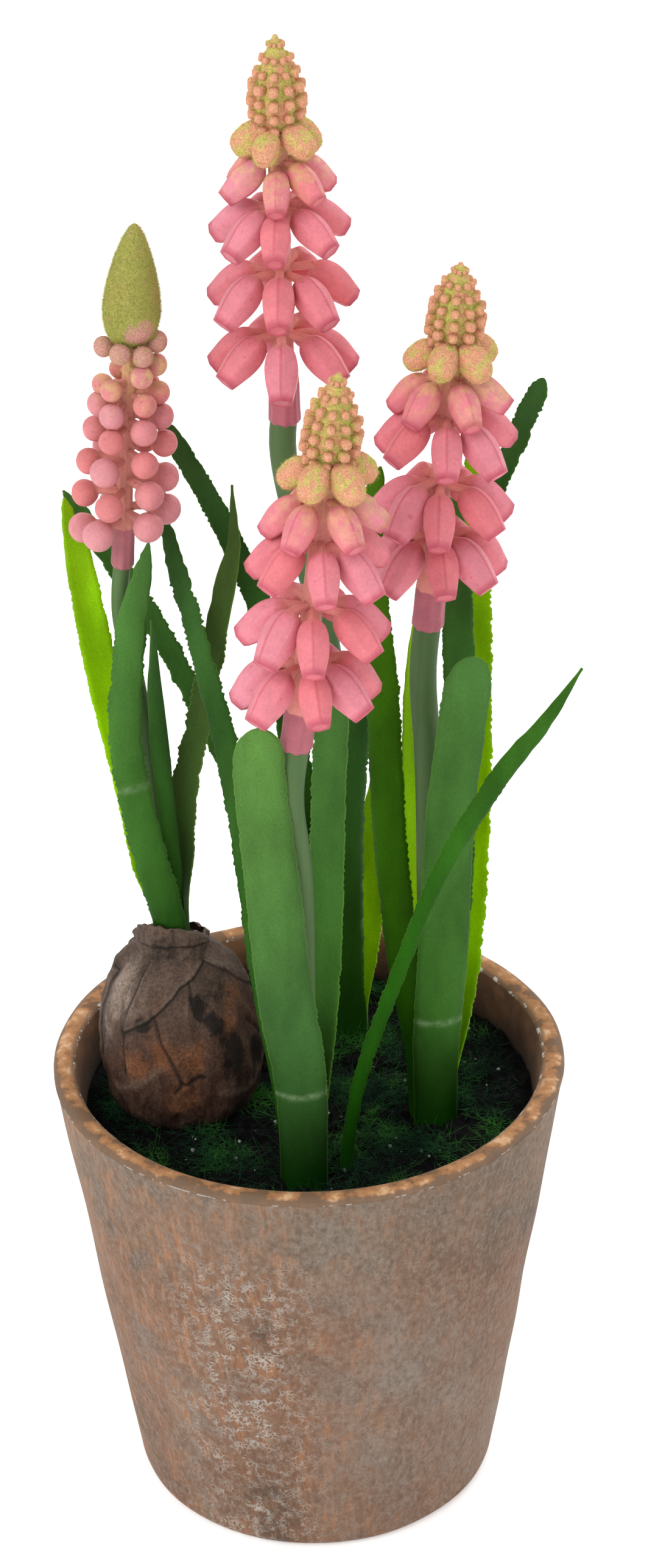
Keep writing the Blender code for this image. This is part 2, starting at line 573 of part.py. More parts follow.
# The cones as (share of their height, radius); the studded one has eight columns of square studs
STUDDED_SHAPE = ((0.0, 0.0036), (0.13, 0.0045), (0.26, 0.0048), (0.39, 0.0046), (0.52, 0.0042),
                 (0.65, 0.0036), (0.77, 0.0028), (0.89, 0.0018), (1.0, 0.0006))
SMOOTH_SHAPE = ((0.0, 0.0040), (0.08, 0.0056), (0.25, 0.0063), (0.45, 0.0057), (0.65, 0.0045),
                (0.83, 0.0030), (0.95, 0.0015), (1.0, 0.0005))
STEM_SIDES = 8
STEM_STEP = 0.024
STEM_UPRIGHT = 0.02
STEM_STRAIGHT = 0.012
TUBE_SIDES = 8
STUD_COLUMNS = 8
CONE_SIDES = 10
STUD_LIFT = 0.0014
STUD_INSET = 0.0005
SMALLEST_STUD_RADIUS = 0.0021
AWAY = np.array((0.0, 1.0, 0.0))


def axis_of(head):
    low, high = np.array(head.low), np.array(head.high)
    length = np.linalg.norm(high - low)
    return low, (high - low) / length, length


def ring_round(centre, direction, beside, radius, sides, phase=0.0, flutes=0.0):
    """A ring of points square to a direction; beside is a vector that isn't along it."""
    across = unit(np.cross(direction, beside))
    up = np.cross(across, direction)
    angles = phase - np.arange(sides) * math.tau / sides
    spokes = np.cos(angles)[:, None] * across + np.sin(angles)[:, None] * up
    ripple = 1 + flutes * (-1.0) ** np.arange(sides)
    return centre + radius * spokes * ripple[:, None]


def spun(start, direction, profile, sides, phase=0.0, flutes=0.0):
    """Rings of a turned shape up a steep direction, from (distance, radius) pairs."""
    return np.array([ring_round(start + direction * distance, direction, AWAY, radius, sides, phase, flutes)
                     for distance, radius in profile])


def petals(head, whorl, petal, random, thin, lean=0.0):
    """Loose solids of one whorl: a level stalk rooted in the head's middle, then a drooping body."""
    low, axis, _ = axis_of(head)
    solids = []
    for index in range(whorl.count):
        angle = math.radians(whorl.phase + index * 360 / whorl.count + random.uniform(-SPREAD, SPREAD))
        out = np.array([math.cos(angle), math.sin(angle), 0.0])
        droop = math.radians(whorl.droop + random.uniform(-SPREAD, SPREAD))
        down = out * math.cos(droop) - np.array((0.0, 0.0, math.sin(droop)))
        length = petal.length * whorl.scale
        width = petal.width * whorl.scale
        rise = random.uniform(-RISE_SPREAD, RISE_SPREAD) + lean * out[0]
        root = low + axis * (whorl.height + rise)
        knee = root + out * (whorl.reach - length * math.cos(droop))
        root += out * ROOT_REACH * thin
        beside = np.array([-out[1], out[0], 0.0])
        rings = [ring_round(root, out, beside, STALK_SHARE * width, petal.sides)]
        for share, radius in petal.body:
            rings.append(ring_round(knee + down * share * length, down, beside, radius * width, petal.sides))
        points, faces = rings_to_solid(rings)
        solids.append(mesh_object("petal", points, faces))
    return solids


def stem_spigot(head):
    return min(SPIGOT_RADIUS, head.stem_radius * SPIGOT_SHARE)


def build_stem(head):
    """A round stem from its hole in the soil or bulb up to the head, with a spigot on top."""
    green = material("stem_green", (0.30, 0.38, 0.24), 0.6)
    low, axis, _ = axis_of(head)
    floor = SOCKET_FOOT if head.foot is BULB_FOOT else SOIL_TOP - STEM_HOLE_DEPTH + GAP
    shoulder = low - axis * GAP
    path = [(*head.foot, floor), (*head.foot, floor + STEM_UPRIGHT), *head.stem_path,
            shoulder - axis * STEM_STRAIGHT, shoulder]
    fine, along, places = smooth_path(path, STEM_STEP)
    rings = [ring_round(middle, heading, AWAY, head.stem_radius, STEM_SIDES)
             for middle, heading in zip(at(fine, along, places), headings(fine, along, places))]
    spigot = stem_spigot(head)
    rings.extend(spun(shoulder, axis, [(0.0, spigot), (SPIGOT_LENGTH, spigot)], STEM_SIDES))
    points, faces = rings_to_solid(rings)
    stem = mesh_object(head.name.replace("head", "stem"), points, faces, green)
    smooth(stem, 50)


def build_florets(head, petal, join, thin, lean):
    """The pink part of a head: a fluted sleeve and middle tube with the florets fused to it."""
    pink = material("floret_pink", (0.62, 0.20, 0.20), 0.6)
    low, axis, _ = axis_of(head)
    sleeve, tube, spigot = SLEEVE_RADIUS * thin, TUBE_RADIUS * thin, SPIGOT_RADIUS * thin
    profile = [(0.0, sleeve), (SLEEVE_LENGTH, sleeve * SLEEVE_TAPER), (TUBE_START, tube),
               (join, tube * TUBE_TAPER), (join, spigot), (join + TIP_SPIGOT_LENGTH, spigot)]
    points, faces = rings_to_solid(spun(low, axis, profile, TUBE_SIDES, 0.0, TUBE_FLUTES))
    body = mesh_object(head.name + "_florets", points, faces, pink)
    random = np.random.default_rng(FLORET_SEED + len(head.name))
    solids = []
    for whorl in head.whorls:
        solids.extend(petals(head, whorl, petal, random, thin, lean))
    union(body, solids)
    bored = stem_spigot(head) + GAP
    profile = [(-SOCKET_MOUTH, bored), (SPIGOT_LENGTH + GAP, bored)]
    points, faces = rings_to_solid(spun(low, axis, profile, SOCKET_SIDES))
    carve(body, [mesh_object("socket", points, faces)])


def build_tip(head, petal, join, cone, shape, studded, thin):
    """The flocked tip: a stalk, a tapered cone on it, and a whorl of closed buds below the cone."""
    flock = material("flocked_tip", (0.52, 0.50, 0.16), 1.0)
    low, axis, length = axis_of(head)
    start = join + GAP
    profile = [(start, STALK_RADIUS * thin), (cone - CONE_UNDERCUT, STALK_RADIUS * thin * STALK_FLARE)]
    profile.extend((cone + share * (length - cone), radius) for share, radius in shape)
    sides = STUD_COLUMNS if studded else CONE_SIDES
    points, faces = rings_to_solid(spun(low, axis, profile, sides, CONE_TURN))
    body = mesh_object(head.name + "_tip", points, faces, flock)
    if studded:
        raise_studs(body, low, axis, cone)
    random = np.random.default_rng(BUD_SEED + len(head.name))
    union(body, petals(head, head.buds, petal, random, thin))
    bored = SPIGOT_RADIUS * thin + GAP
    profile = [(join - SOCKET_MOUTH, bored), (join + TIP_SPIGOT_LENGTH + GAP, bored)]
    points, faces = rings_to_solid(spun(low, axis, profile, SOCKET_SIDES))
    carve(body, [mesh_object("socket", points, faces)])


def raise_studs(body, low, axis, cone):
    """Lifts a smaller copy of every face on the cone's side, so each becomes a square stud."""
    mesh = bmesh.new()
    mesh.from_mesh(body.data)
    mesh.normal_update()
    sides = []
    for face in mesh.faces:
        offset = np.array(face.calc_center_median()) - low
        height = offset @ axis
        if height > cone and np.linalg.norm(offset - axis * height) > SMALLEST_STUD_RADIUS:
            sides.append(face)
    bmesh.ops.inset_individual(mesh, faces=sides, thickness=STUD_INSET, depth=STUD_LIFT)
    mesh.to_mesh(body.data)
    mesh.free()


clear_scene()
build_pot()
build_soil()
build_bulb()
build_collar()
build_leaves()
for head in HEADS:
    build_stem(head)
    build_florets(head, FLORET, STUDDED_JOIN, 1.0, 0.0)
    build_tip(head, BUD, STUDDED_JOIN, STUDDED_CONE, STUDDED_SHAPE, True, 1.0)
build_stem(BALL_HEAD)
build_florets(BALL_HEAD, BALL, BALL_JOIN, BALL_HEAD_THIN, BALL_ROW_LEAN)
build_tip(BALL_HEAD, BALL, BALL_JOIN, BALL_CONE, SMOOTH_SHAPE, False, BALL_HEAD_THIN)
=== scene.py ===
"""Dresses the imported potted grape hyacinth: a weathered clay pot of dark soil and moss, four moulded
pink flower heads with flocked tips, strap leaves, and a papery bulb with a leaf cluster of its own.
Metres, +Z up, origin at the centre of the pot's base, and the camera looks from -Y."""

import math
from collections import namedtuple

import bpy
import numpy as np
from mathutils import Matrix, Vector


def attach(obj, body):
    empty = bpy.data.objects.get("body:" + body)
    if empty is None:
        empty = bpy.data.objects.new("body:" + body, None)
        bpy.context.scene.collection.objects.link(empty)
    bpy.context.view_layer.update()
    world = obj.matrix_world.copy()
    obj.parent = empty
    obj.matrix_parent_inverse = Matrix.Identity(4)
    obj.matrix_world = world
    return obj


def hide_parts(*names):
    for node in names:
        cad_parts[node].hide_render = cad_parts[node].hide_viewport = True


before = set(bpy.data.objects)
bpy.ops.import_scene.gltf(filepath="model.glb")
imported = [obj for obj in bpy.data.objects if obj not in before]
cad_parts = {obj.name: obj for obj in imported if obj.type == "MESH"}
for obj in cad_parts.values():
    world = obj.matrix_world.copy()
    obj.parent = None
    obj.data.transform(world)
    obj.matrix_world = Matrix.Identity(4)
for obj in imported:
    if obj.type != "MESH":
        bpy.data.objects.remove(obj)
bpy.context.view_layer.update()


# Pot: one tapering pot of fired clay with a rounded lip, thrown thin and washed with chalky slip that
# has worn to patches. It stands on its flat base and holds the soil.

POT_HEIGHT, RIM_RADIUS, BASE_RADIUS = 0.114, 0.060, 0.0433
POT_WALL, POT_FLOOR, LIP_RISE, FOOT_ROUND = 0.0053, 0.006, 0.0016, 0.0028
POT_AROUND = 192
POT_UNEVEN = 0.00018


def unevenness(points, size, seed, waves=24):
    """Smooth noise at the points: the sum of plane waves in random directions, each with a wavelength
    near the size, divided by the root of their number."""
    random = np.random.default_rng(seed)
    directions = random.normal(size=(waves, 3))
    directions /= np.linalg.norm(directions, axis=1, keepdims=True) * size
    directions *= random.uniform(0.6, 1.6, waves)[:, None]
    phases = random.uniform(0.0, math.tau, waves)
    return np.sin(points @ directions.T * math.tau + phases).sum(axis=-1) / math.sqrt(waves)


def turned(profile, around, centre=(0.0, 0.0)):
    """Rings of points: each (radius, height) of the profile carried round a vertical axis."""
    profile = np.asarray(profile)
    angles = np.arange(around) * math.tau / around
    rings = np.empty((len(profile), around, 3))
    rings[..., 0] = centre[0] + profile[:, :1] * np.cos(angles)
    rings[..., 1] = centre[1] + profile[:, :1] * np.sin(angles)
    rings[..., 2] = profile[:, 1:]
    return rings


def closed_skin(rings):
    """Points and faces of a closed body through rings of points: a wall of quads between each ring and
    the next, and at both ends a fan round the ring's own centre."""
    rows, around = rings.shape[:2]
    here = np.arange(rows * around).reshape(rows, around)
    beside = np.roll(here, -1, axis=1)
    walls = np.stack([here[:-1], beside[:-1], beside[1:], here[1:]], axis=-1).reshape(-1, 4)
    low, high = np.full(around, rows * around), np.full(around, rows * around + 1)
    fans = np.concatenate([np.stack([beside[0], here[0], low], axis=-1),
                           np.stack([here[-1], beside[-1], high], axis=-1)])
    points = np.concatenate([rings.reshape(-1, 3), rings[[0, -1]].mean(axis=1)])
    return points, [walls, fans]


def dress(name, points, faces, finish, slot, nodes=(), marks=None):
    """Puts arrays of points and faces into a mesh piece that rides on the plant, with its finish, the
    CAD nodes that it stands for, and any marks: a value or a vector on each point, by name."""
    mesh = bpy.data.meshes.new(name)
    mesh.vertices.add(len(points))
    mesh.vertices.foreach_set("co", points.astype(np.float32).ravel())
    corners = np.concatenate([group.ravel() for group in faces])
    counts = np.concatenate([np.full(len(group), group.shape[1]) for group in faces])
    mesh.loops.add(len(corners))
    mesh.loops.foreach_set("vertex_index", corners.astype(np.int32))
    mesh.polygons.add(len(counts))
    mesh.polygons.foreach_set("loop_start", (np.cumsum(counts) - counts).astype(np.int32))
    mesh.update(calc_edges=True)
    mesh.shade_smooth()
    for mark, values in (marks or {}).items():
        kind = "FLOAT" if values.ndim == 1 else "FLOAT_VECTOR"
        layer = mesh.attributes.new(mark, kind, "POINT")
        layer.data.foreach_set("value" if values.ndim == 1 else "vector", values.astype(np.float32).ravel())
    mesh.materials.append(finish)
    obj = bpy.data.objects.new(name, mesh)
    bpy.context.scene.collection.objects.link(obj)
    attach(obj, "root")
    if nodes:
        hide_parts(*nodes)
    return obj


class Nodes:
    """A node tree under construction, with short ways to add, join and mix nodes."""

    def __init__(self, tree):
        self.tree = tree

    def add(self, kind, settings=None, **inputs):
        """A node of this kind, its settings set, and its named or numbered inputs set or joined."""
        node = self.tree.nodes.new("ShaderNode" + kind)
        for setting, value in (settings or {}).items():
            setattr(node, setting, value)
        for name, value in inputs.items():
            self.join(value, node.inputs[int(name[1:])] if name[0] == "i" and name[1:].isdigit()
                      else node.inputs[name.replace("_", " ")])
        return node

    def join(self, value, socket):
        if isinstance(value, bpy.types.NodeSocket):
            self.tree.links.new(value, socket)
        elif socket.type == "RGBA":
            socket.default_value = (*value, 1.0) if isinstance(value, tuple) else (value, value, value, 1.0)
        else:
            socket.default_value = value

    def mix(self, share, first, second, blend="MIX"):
        """A colour between first and second by the share."""
        node = self.add("Mix", {"data_type": "RGBA", "blend_type": blend})
        self.join(share, node.inputs[0])
        self.join(first, node.inputs[6])
        self.join(second, node.inputs[7])
        return node.outputs[2]

    def ramp(self, value, *stops):
        """A colour or grey ramp through (place, colour or grey) stops."""
        node = self.add("ValToRGB", i0=value)
        elements = node.color_ramp.elements
        for index, (place, colour) in enumerate(stops):
            stop = elements[index] if index < 2 else elements.new(place)
            stop.position = place
            stop.color = (*colour, 1.0) if isinstance(colour, tuple) else (colour, colour, colour, 1.0)
        return node.outputs[0]

    def math(self, operation, *values):
        node = self.add("Math", {"operation": operation, "use_clamp": True})
        for value, socket in zip(values, node.inputs):
            self.join(value, socket)
        return node.outputs[0]

    def noise(self, scale, detail=4.0, roughness=0.55, stretch=(1.0, 1.0, 1.0), curl=0.0):
        """Noise on the piece's own coordinates, finer along the axes that stretch makes larger."""
        moved = self.add("Mapping", Vector=self.add("TexCoord").outputs["Object"], Scale=stretch).outputs[0]
        return self.add("TexNoise", Vector=moved, Scale=scale, Detail=detail, Roughness=roughness,
                        Distortion=curl).outputs[0]

    def mark(self, name, output="Fac"):
        """The piece's own mark of that name."""
        return self.add("Attribute", {"attribute_name": name}).outputs[output]

    def bump(self, height, distance, strength=1.0, normal=None):
        node = self.add("Bump", Height=height, Distance=distance, Strength=strength)
        if normal:
            self.join(normal, node.inputs["Normal"])
        return node.outputs[0]

    def effect(self, effect, **inputs):
        """A shared effect with this material's own values; gives its outputs."""
        node = self.add("Group", {"node_tree": effect.tree}, **inputs)
        return node.outputs


class Finish(Nodes):
    """A material under construction: its Principled shader takes values and sockets by name."""

    def __init__(self, name, **sockets):
        self.material = bpy.data.materials.new(name)
        self.material.use_nodes = True
        super().__init__(self.material.node_tree)
        self.shader = self.tree.nodes["Principled BSDF"]
        for socket, value in sockets.items():
            self.shader.inputs[socket.replace("_", " ")].default_value = value

    def set(self, **inputs):
        for socket, value in inputs.items():
            self.join(value, self.shader.inputs[socket.replace("_", " ")])
        return self.material


def pot_finish():
    """Fired clay under worn slip: brown clouds that turn grey towards the top, short rust streaks, a fine
    net of grey cracks that whitens to curls down one strip, an orange rim with white chips, and painted shade
    that darkens the inside to near black towards the soil."""
    clay = Finish("weathered_clay", Roughness=0.8, Specular_IOR_Level=0.2, Sheen_Weight=0.12,
                  Sheen_Roughness=0.4, Sheen_Tint=(0.85, 0.62, 0.45, 1.0))
    lip = clay.mark("lip_share")
    there = clay.add("TexCoord").outputs["Object"]
    place = clay.add("SeparateXYZ", Vector=there).outputs
    patches = clay.noise(75.0, 4.0, 0.6)
    colour = clay.ramp(clay.noise(26.0, 4.0, 0.62, (1.0, 1.0, 0.6)), (0.36, (0.090, 0.056, 0.038)),
                       (0.46, (0.165, 0.088, 0.054)), (0.56, (0.170, 0.110, 0.078)), (0.70, (0.205, 0.165, 0.132)))
    high = clay.add("MapRange", Value=place[2], From_Min=0.072, From_Max=0.102).outputs[0]
    colour = clay.mix(clay.math("MULTIPLY", high, 0.65), colour, (0.150, 0.122, 0.092))
    peel = clay.noise(850.0, 2.0, 0.7, (1.0, 1.0, 0.6))
    colour = clay.mix(clay.ramp(peel, (0.48, 0.0), (0.66, 0.38)), colour, (0.29, 0.225, 0.175))
    colour = clay.mix(clay.ramp(peel, (0.34, 0.40), (0.46, 0.0)), colour, (0.080, 0.048, 0.032))
    streaks = clay.ramp(clay.noise(760.0, 2.0, 0.6, (1.0, 1.0, 0.06)), (0.52, 0.0), (0.66, 0.6))
    left = clay.add("MapRange", Value=place[0], From_Min=0.030, From_Max=-0.030).outputs[0]
    rusty = clay.math("MULTIPLY", clay.ramp(patches, (0.40, 0.0), (0.54, 1.0)), clay.ramp(left, (0.0, 0.3), (1.0, 1.0)))
    colour = clay.mix(clay.math("MULTIPLY", rusty, 0.35), colour, (0.27, 0.128, 0.068))
    colour = clay.mix(clay.math("MULTIPLY", streaks, rusty), colour, (0.38, 0.175, 0.080))

    strip = clay.add("MapRange", Value=place[0], From_Min=-0.036, From_Max=0.003).outputs[0]
    strip = clay.ramp(strip, (0.0, 0.0), (0.35, 1.0), (0.65, 1.0), (1.0, 0.0))
    facing = clay.add("MapRange", Value=place[1], From_Min=-0.025, From_Max=-0.035).outputs[0]
    low = clay.add("MapRange", Value=place[2], From_Min=0.098, From_Max=0.082).outputs[0]
    crazed = clay.math("MULTIPLY", clay.math("MULTIPLY", clay.math("MULTIPLY", strip, facing), low),
                       clay.ramp(patches, (0.38, 0.1), (0.56, 1.0)))
    bent = clay.add("TexNoise", Vector=there, Scale=430.0, Detail=0.0).outputs[1]
    bent = clay.add("VectorMath", {"operation": "SCALE"}, i0=bent, Scale=0.0042).outputs[0]
    bent = clay.add("VectorMath", {"operation": "ADD"}, i0=bent, i1=there).outputs[0]
    cells = clay.add("TexVoronoi", {"feature": "DISTANCE_TO_EDGE"}, Vector=bent, Scale=820.0).outputs[0]
    broken = clay.ramp(clay.noise(380.0, 1.0, 0.6), (0.44, 0.0), (0.56, 1.0))
    cracks = clay.math("MULTIPLY", clay.ramp(cells, (0.03, 1.0), (0.14, 0.0)), broken)
    colour = clay.mix(clay.math("MULTIPLY", cracks, 0.30), colour, (0.30, 0.265, 0.23))
    inside_cells = clay.math("MULTIPLY", clay.ramp(cells, (0.20, 0.0), (0.45, 0.5)), crazed)
    colour = clay.mix(inside_cells, colour, (0.105, 0.052, 0.031))
    colour = clay.mix(clay.math("MULTIPLY", cracks, clay.math("MULTIPLY", crazed, 0.62)), colour, (0.45, 0.445, 0.405))

    mottle = clay.noise(150.0, 4.0, 0.68)
    rim = clay.ramp(mottle, (0.42, (0.165, 0.092, 0.050)), (0.49, (0.33, 0.155, 0.064)), (0.57, (0.40, 0.200, 0.088)),
                    (0.66, (0.60, 0.37, 0.21)))
    banks = clay.ramp(mottle, (0.35, 0.0), (0.65, 0.2))
    outer = clay.ramp(clay.math("ADD", lip, banks), (0.38, 0.85), (0.47, 0.0))
    inner = clay.ramp(clay.math("ADD", lip, banks), (0.82, 0.0), (0.90, 0.7))
    rim = clay.mix(clay.math("MAXIMUM", outer, inner), rim, (0.165, 0.108, 0.072))
    edges = clay.ramp(lip, (0.05, 1.0), (0.09, 0.0), (0.76, 0.0), (0.82, 1.0))
    chips = clay.ramp(clay.noise(210.0, 3.0, 0.7), (0.54, 0.0), (0.57, 0.85))
    rim = clay.mix(clay.math("MULTIPLY", edges, chips), rim, (0.74, 0.71, 0.66))
    colour = clay.mix(clay.ramp(lip, (0.02, 0.0), (0.07, 1.0)), colour, rim)
    # The inside: mottled brown by the lip, darkening to near black towards the soil, which is painted shade down in the
    # pot.
    depth = clay.add("MapRange", Value=place[2], From_Min=0.101, From_Max=0.113).outputs[0]
    inside = clay.mix(depth, (0.014, 0.008, 0.005), clay.ramp(patches, (0.4, (0.13, 0.060, 0.032)),
                                                              (0.62, (0.29, 0.140, 0.070))))
    colour = clay.mix(clay.ramp(lip, (0.93, 0.0), (0.99, 1.0)), colour, inside)
    smooth_rim = clay.ramp(lip, (0.02, 1.0), (0.07, 0.2))
    return clay.set(Base_Color=colour, Normal=clay.bump(clay.math("MULTIPLY", peel, smooth_rim), 0.0006, 0.8))


foot = np.linspace(0.0, math.pi / 2, 8)
lip = np.linspace(0.0, math.pi, 25)
foot_radius = BASE_RADIUS + (RIM_RADIUS - BASE_RADIUS) * FOOT_ROUND / POT_HEIGHT
taper = (RIM_RADIUS - BASE_RADIUS) / POT_HEIGHT
wall_heights = np.linspace(FOOT_ROUND, POT_HEIGHT - LIP_RISE, 90)[1:-1]
inner_heights = np.linspace(POT_HEIGHT - LIP_RISE, POT_FLOOR, 60)[1:]
pot_outline = np.concatenate([
    np.stack([np.linspace(0.004, foot_radius - FOOT_ROUND, 8)[:-1], np.zeros(7)], axis=1),
    np.stack([foot_radius - FOOT_ROUND * (1 - np.sin(foot)), FOOT_ROUND * (1 - np.cos(foot))], axis=1),
    np.stack([BASE_RADIUS + taper * wall_heights, wall_heights], axis=1),
    np.stack([RIM_RADIUS - POT_WALL / 2 * (1 - np.cos(lip)), POT_HEIGHT - LIP_RISE * (1 - np.sin(lip))], axis=1),
    np.stack([BASE_RADIUS + taper * inner_heights - POT_WALL, inner_heights], axis=1),
    [[0.004, POT_FLOOR]]])
lip_share = np.concatenate([np.zeros(15 + len(wall_heights)), lip / math.pi, np.ones(len(inner_heights) + 1)])
pot_rings = turned(pot_outline, POT_AROUND)
swell = unevenness(pot_rings, 0.03, 1)[..., None] * POT_UNEVEN - POT_UNEVEN
pot_rings[..., :2] *= 1 + swell / RIM_RADIUS
pot_rings[..., 2] -= np.clip(-swell[..., 0], 0, None) * (pot_rings[..., 2] > POT_HEIGHT / 2)
dress("pot_fired_clay", *closed_skin(pot_rings), pot_finish(), "weathered_clay", ["pot"],
      {"lip_share": np.concatenate([np.repeat(lip_share, POT_AROUND), [0.0, 1.0]])})


# Soil: near-black crumbs of peat pressed into the pot, level a thumb's breadth under the lip, with pale
# grains among them and a mat of dark green moss fibres lying on top.

SOIL_TOP, SOIL_GAP = 0.102, 0.0006
SOIL_AROUND, SOIL_RINGS = 220, 110
CRUMBS = 1100
PALE_GRAINS = 70
MOSS_FIBRES = 12000


def height_of_crumbs(spots, random):
    """Height of the crumb bed over the flat soil at each spot: the highest of many round crumbs, each a
    dome of its own radius."""
    centres = random.uniform(-0.053, 0.053, (CRUMBS, 2))
    radii = random.uniform(0.0008, 0.0026, CRUMBS)
    height = np.zeros(spots.shape[0])
    for centre, radius in zip(centres, radii):
        apart = ((spots - centre) ** 2).sum(axis=1) / radius ** 2
        height = np.maximum(height, radius * 0.7 * np.sqrt(np.clip(1 - apart, 0, None)))
    return height


def copies(shape, faces, turns, places):
    """Copies of one shape as one mesh: each point is carried by a copy's three axes to its place."""
    points = np.einsum("pk,nkj->npj", shape, turns) + places[:, None]
    starts = (np.arange(len(places)) * len(shape))[:, None, None]
    return points.reshape(-1, 3), [(group[None] + starts).reshape(-1, group.shape[1]) for group in faces]


def frames_along(directions, random):
    """Three axes for each direction, the third along it, turned about it at random."""
    directions = directions / np.linalg.norm(directions, axis=1, keepdims=True)
    across = np.cross(directions, random.normal(size=directions.shape))
    across /= np.linalg.norm(across, axis=1, keepdims=True)
    return np.stack([across, np.cross(directions, across), directions], axis=1)


def soil_finish():
    """Near-black peat, a little browner in a fine mottle."""
    soil = Finish("dark_soil", Roughness=1.0, Specular_IOR_Level=0.1)
    grain = soil.noise(700.0, 4.0, 0.7)
    return soil.set(Base_Color=soil.ramp(grain, (0.45, (0.0006, 0.0008, 0.0008)), (0.75, (0.009, 0.010, 0.009))),
                    Normal=soil.bump(grain, 0.0006))


soil_random = np.random.default_rng(3)
soil_edge = BASE_RADIUS + taper * SOIL_TOP - POT_WALL - SOIL_GAP
soil_floor = POT_FLOOR + 0.0003
soil_outline = np.concatenate([
    [[0.004, soil_floor], [BASE_RADIUS + taper * soil_floor - POT_WALL - SOIL_GAP, soil_floor]],
    [[soil_edge, SOIL_TOP - 0.001]],
    np.stack([np.linspace(soil_edge, 0.0005, SOIL_RINGS), np.full(SOIL_RINGS, SOIL_TOP)], axis=1)])
soil_rings = turned(soil_outline, SOIL_AROUND)
soil_rings[3:, :, 2] += height_of_crumbs(soil_rings[3:, :, :2].reshape(-1, 2), soil_random).reshape(
    SOIL_RINGS, SOIL_AROUND) - 0.0008
dress("soil_crumb_bed", *closed_skin(soil_rings), soil_finish(), "dark_soil", ["soil"])


def scattered(count, random, margin):
    """Spots spread evenly over the soil's disc, that far inside the pot."""
    reach = (soil_edge - margin) * np.sqrt(random.uniform(0.0, 1.0, count))
    angle = random.uniform(0.0, math.tau, count)
    return np.stack([reach * np.cos(angle), reach * np.sin(angle), np.full(count, SOIL_TOP)], axis=1)


def moss_finish():
    """Dyed moss fibres, bright green in some patches and almost black in others."""
    moss = Finish("moss_green", Roughness=0.7, Specular_IOR_Level=0.1)
    tint = moss.noise(75.0, 3.0, 0.6)
    return moss.set(Base_Color=moss.ramp(tint, (0.40, (0.008, 0.035, 0.016)), (0.50, (0.018, 0.085, 0.024)),
                                         (0.62, (0.045, 0.190, 0.024))))


needle = np.array([[1.0, 0.0, 0.0], [-0.5, 0.87, 0.0], [-0.5, -0.87, 0.0],
                   [0.9, 0.4, 0.5], [-0.4, 1.2, 0.5], [-0.4, -0.3, 0.5], [0.0, 0.6, 1.0]])
needle_faces = [np.array([[0, 1, 4, 3], [1, 2, 5, 4], [2, 0, 3, 5]]),
                np.array([[3, 4, 6], [4, 5, 6], [5, 3, 6], [0, 2, 1]])]
moss_spots = scattered(3 * MOSS_FIBRES, soil_random, 0.004)
thickest = np.argsort(unevenness(moss_spots, 0.016, 8) + soil_random.normal(0.0, 0.8, len(moss_spots)))
moss_spots = moss_spots[thickest[-MOSS_FIBRES:]]
moss_ways = soil_random.normal(size=(MOSS_FIBRES, 3))
moss_ways[:, 2] = np.abs(moss_ways[:, 2]) * 0.35
moss_axes = frames_along(moss_ways, soil_random)
moss_axes[:, :2] *= 0.000045
moss_axes[:, 2] *= soil_random.uniform(0.002, 0.0062, MOSS_FIBRES)[:, None]
moss_spots[:, 2] += soil_random.uniform(-0.0004, 0.0018, MOSS_FIBRES)
dress("moss_fibres", *copies(needle, needle_faces, moss_axes, moss_spots), moss_finish(), "dark_soil")


def grain_finish():
    """Crushed white perlite, a little dusty."""
    grain = Finish("pale_grains", Roughness=0.9, Specular_IOR_Level=0.1)
    return grain.set(Base_Color=grain.ramp(grain.noise(300.0), (0.4, (0.10, 0.11, 0.11)), (0.6, (0.42, 0.42, 0.40))))


grain_shape, grain_faces = closed_skin(turned([(0.45, -0.4), (0.6, 0.1), (0.35, 0.5)], 6)
                                       * np.random.default_rng(12).uniform(0.75, 1.25, (3, 6, 1)))
grain_spots = scattered(PALE_GRAINS, soil_random, 0.004)
grain_spots[:, 2] += 0.0006
grain_axes = frames_along(soil_random.normal(size=(PALE_GRAINS, 3)), soil_random)
grain_axes *= soil_random.uniform(0.0003, 0.0009, (PALE_GRAINS, 1, 1))
dress("pale_soil_grains", *copies(grain_shape, grain_faces, grain_axes, grain_spots), grain_finish(), "dark_soil")


# Bulb: a light core wrapped in papery brown skin, resting in the soil at the left with a leaf cluster in
# its neck. The skin is creased where it was folded over, and its torn upper edge stands up as a collar.

BULB_RADIUS, BULB_NECK_RADIUS = 0.0187, 0.0064
BULB_CENTRE, BULB_FOOT = np.array((-0.0295, 0.0020)), np.array((-0.0310, 0.0020))
BULB_FLOOR, BULB_NECK_TOP = 0.0985, 0.1440
BULB_AROUND, BULB_ROWS = 250, 124
COLLAR_THICK, COLLAR_ROWS = 0.0004, 24
BULB_SHARES = ((0.62, 0.0), (0.88, 0.088), (1.00, 0.25), (1.00, 0.42), (0.95, 0.58), (0.84, 0.75),
               (0.67, 0.89), (BULB_NECK_RADIUS / BULB_RADIUS, 1.0))


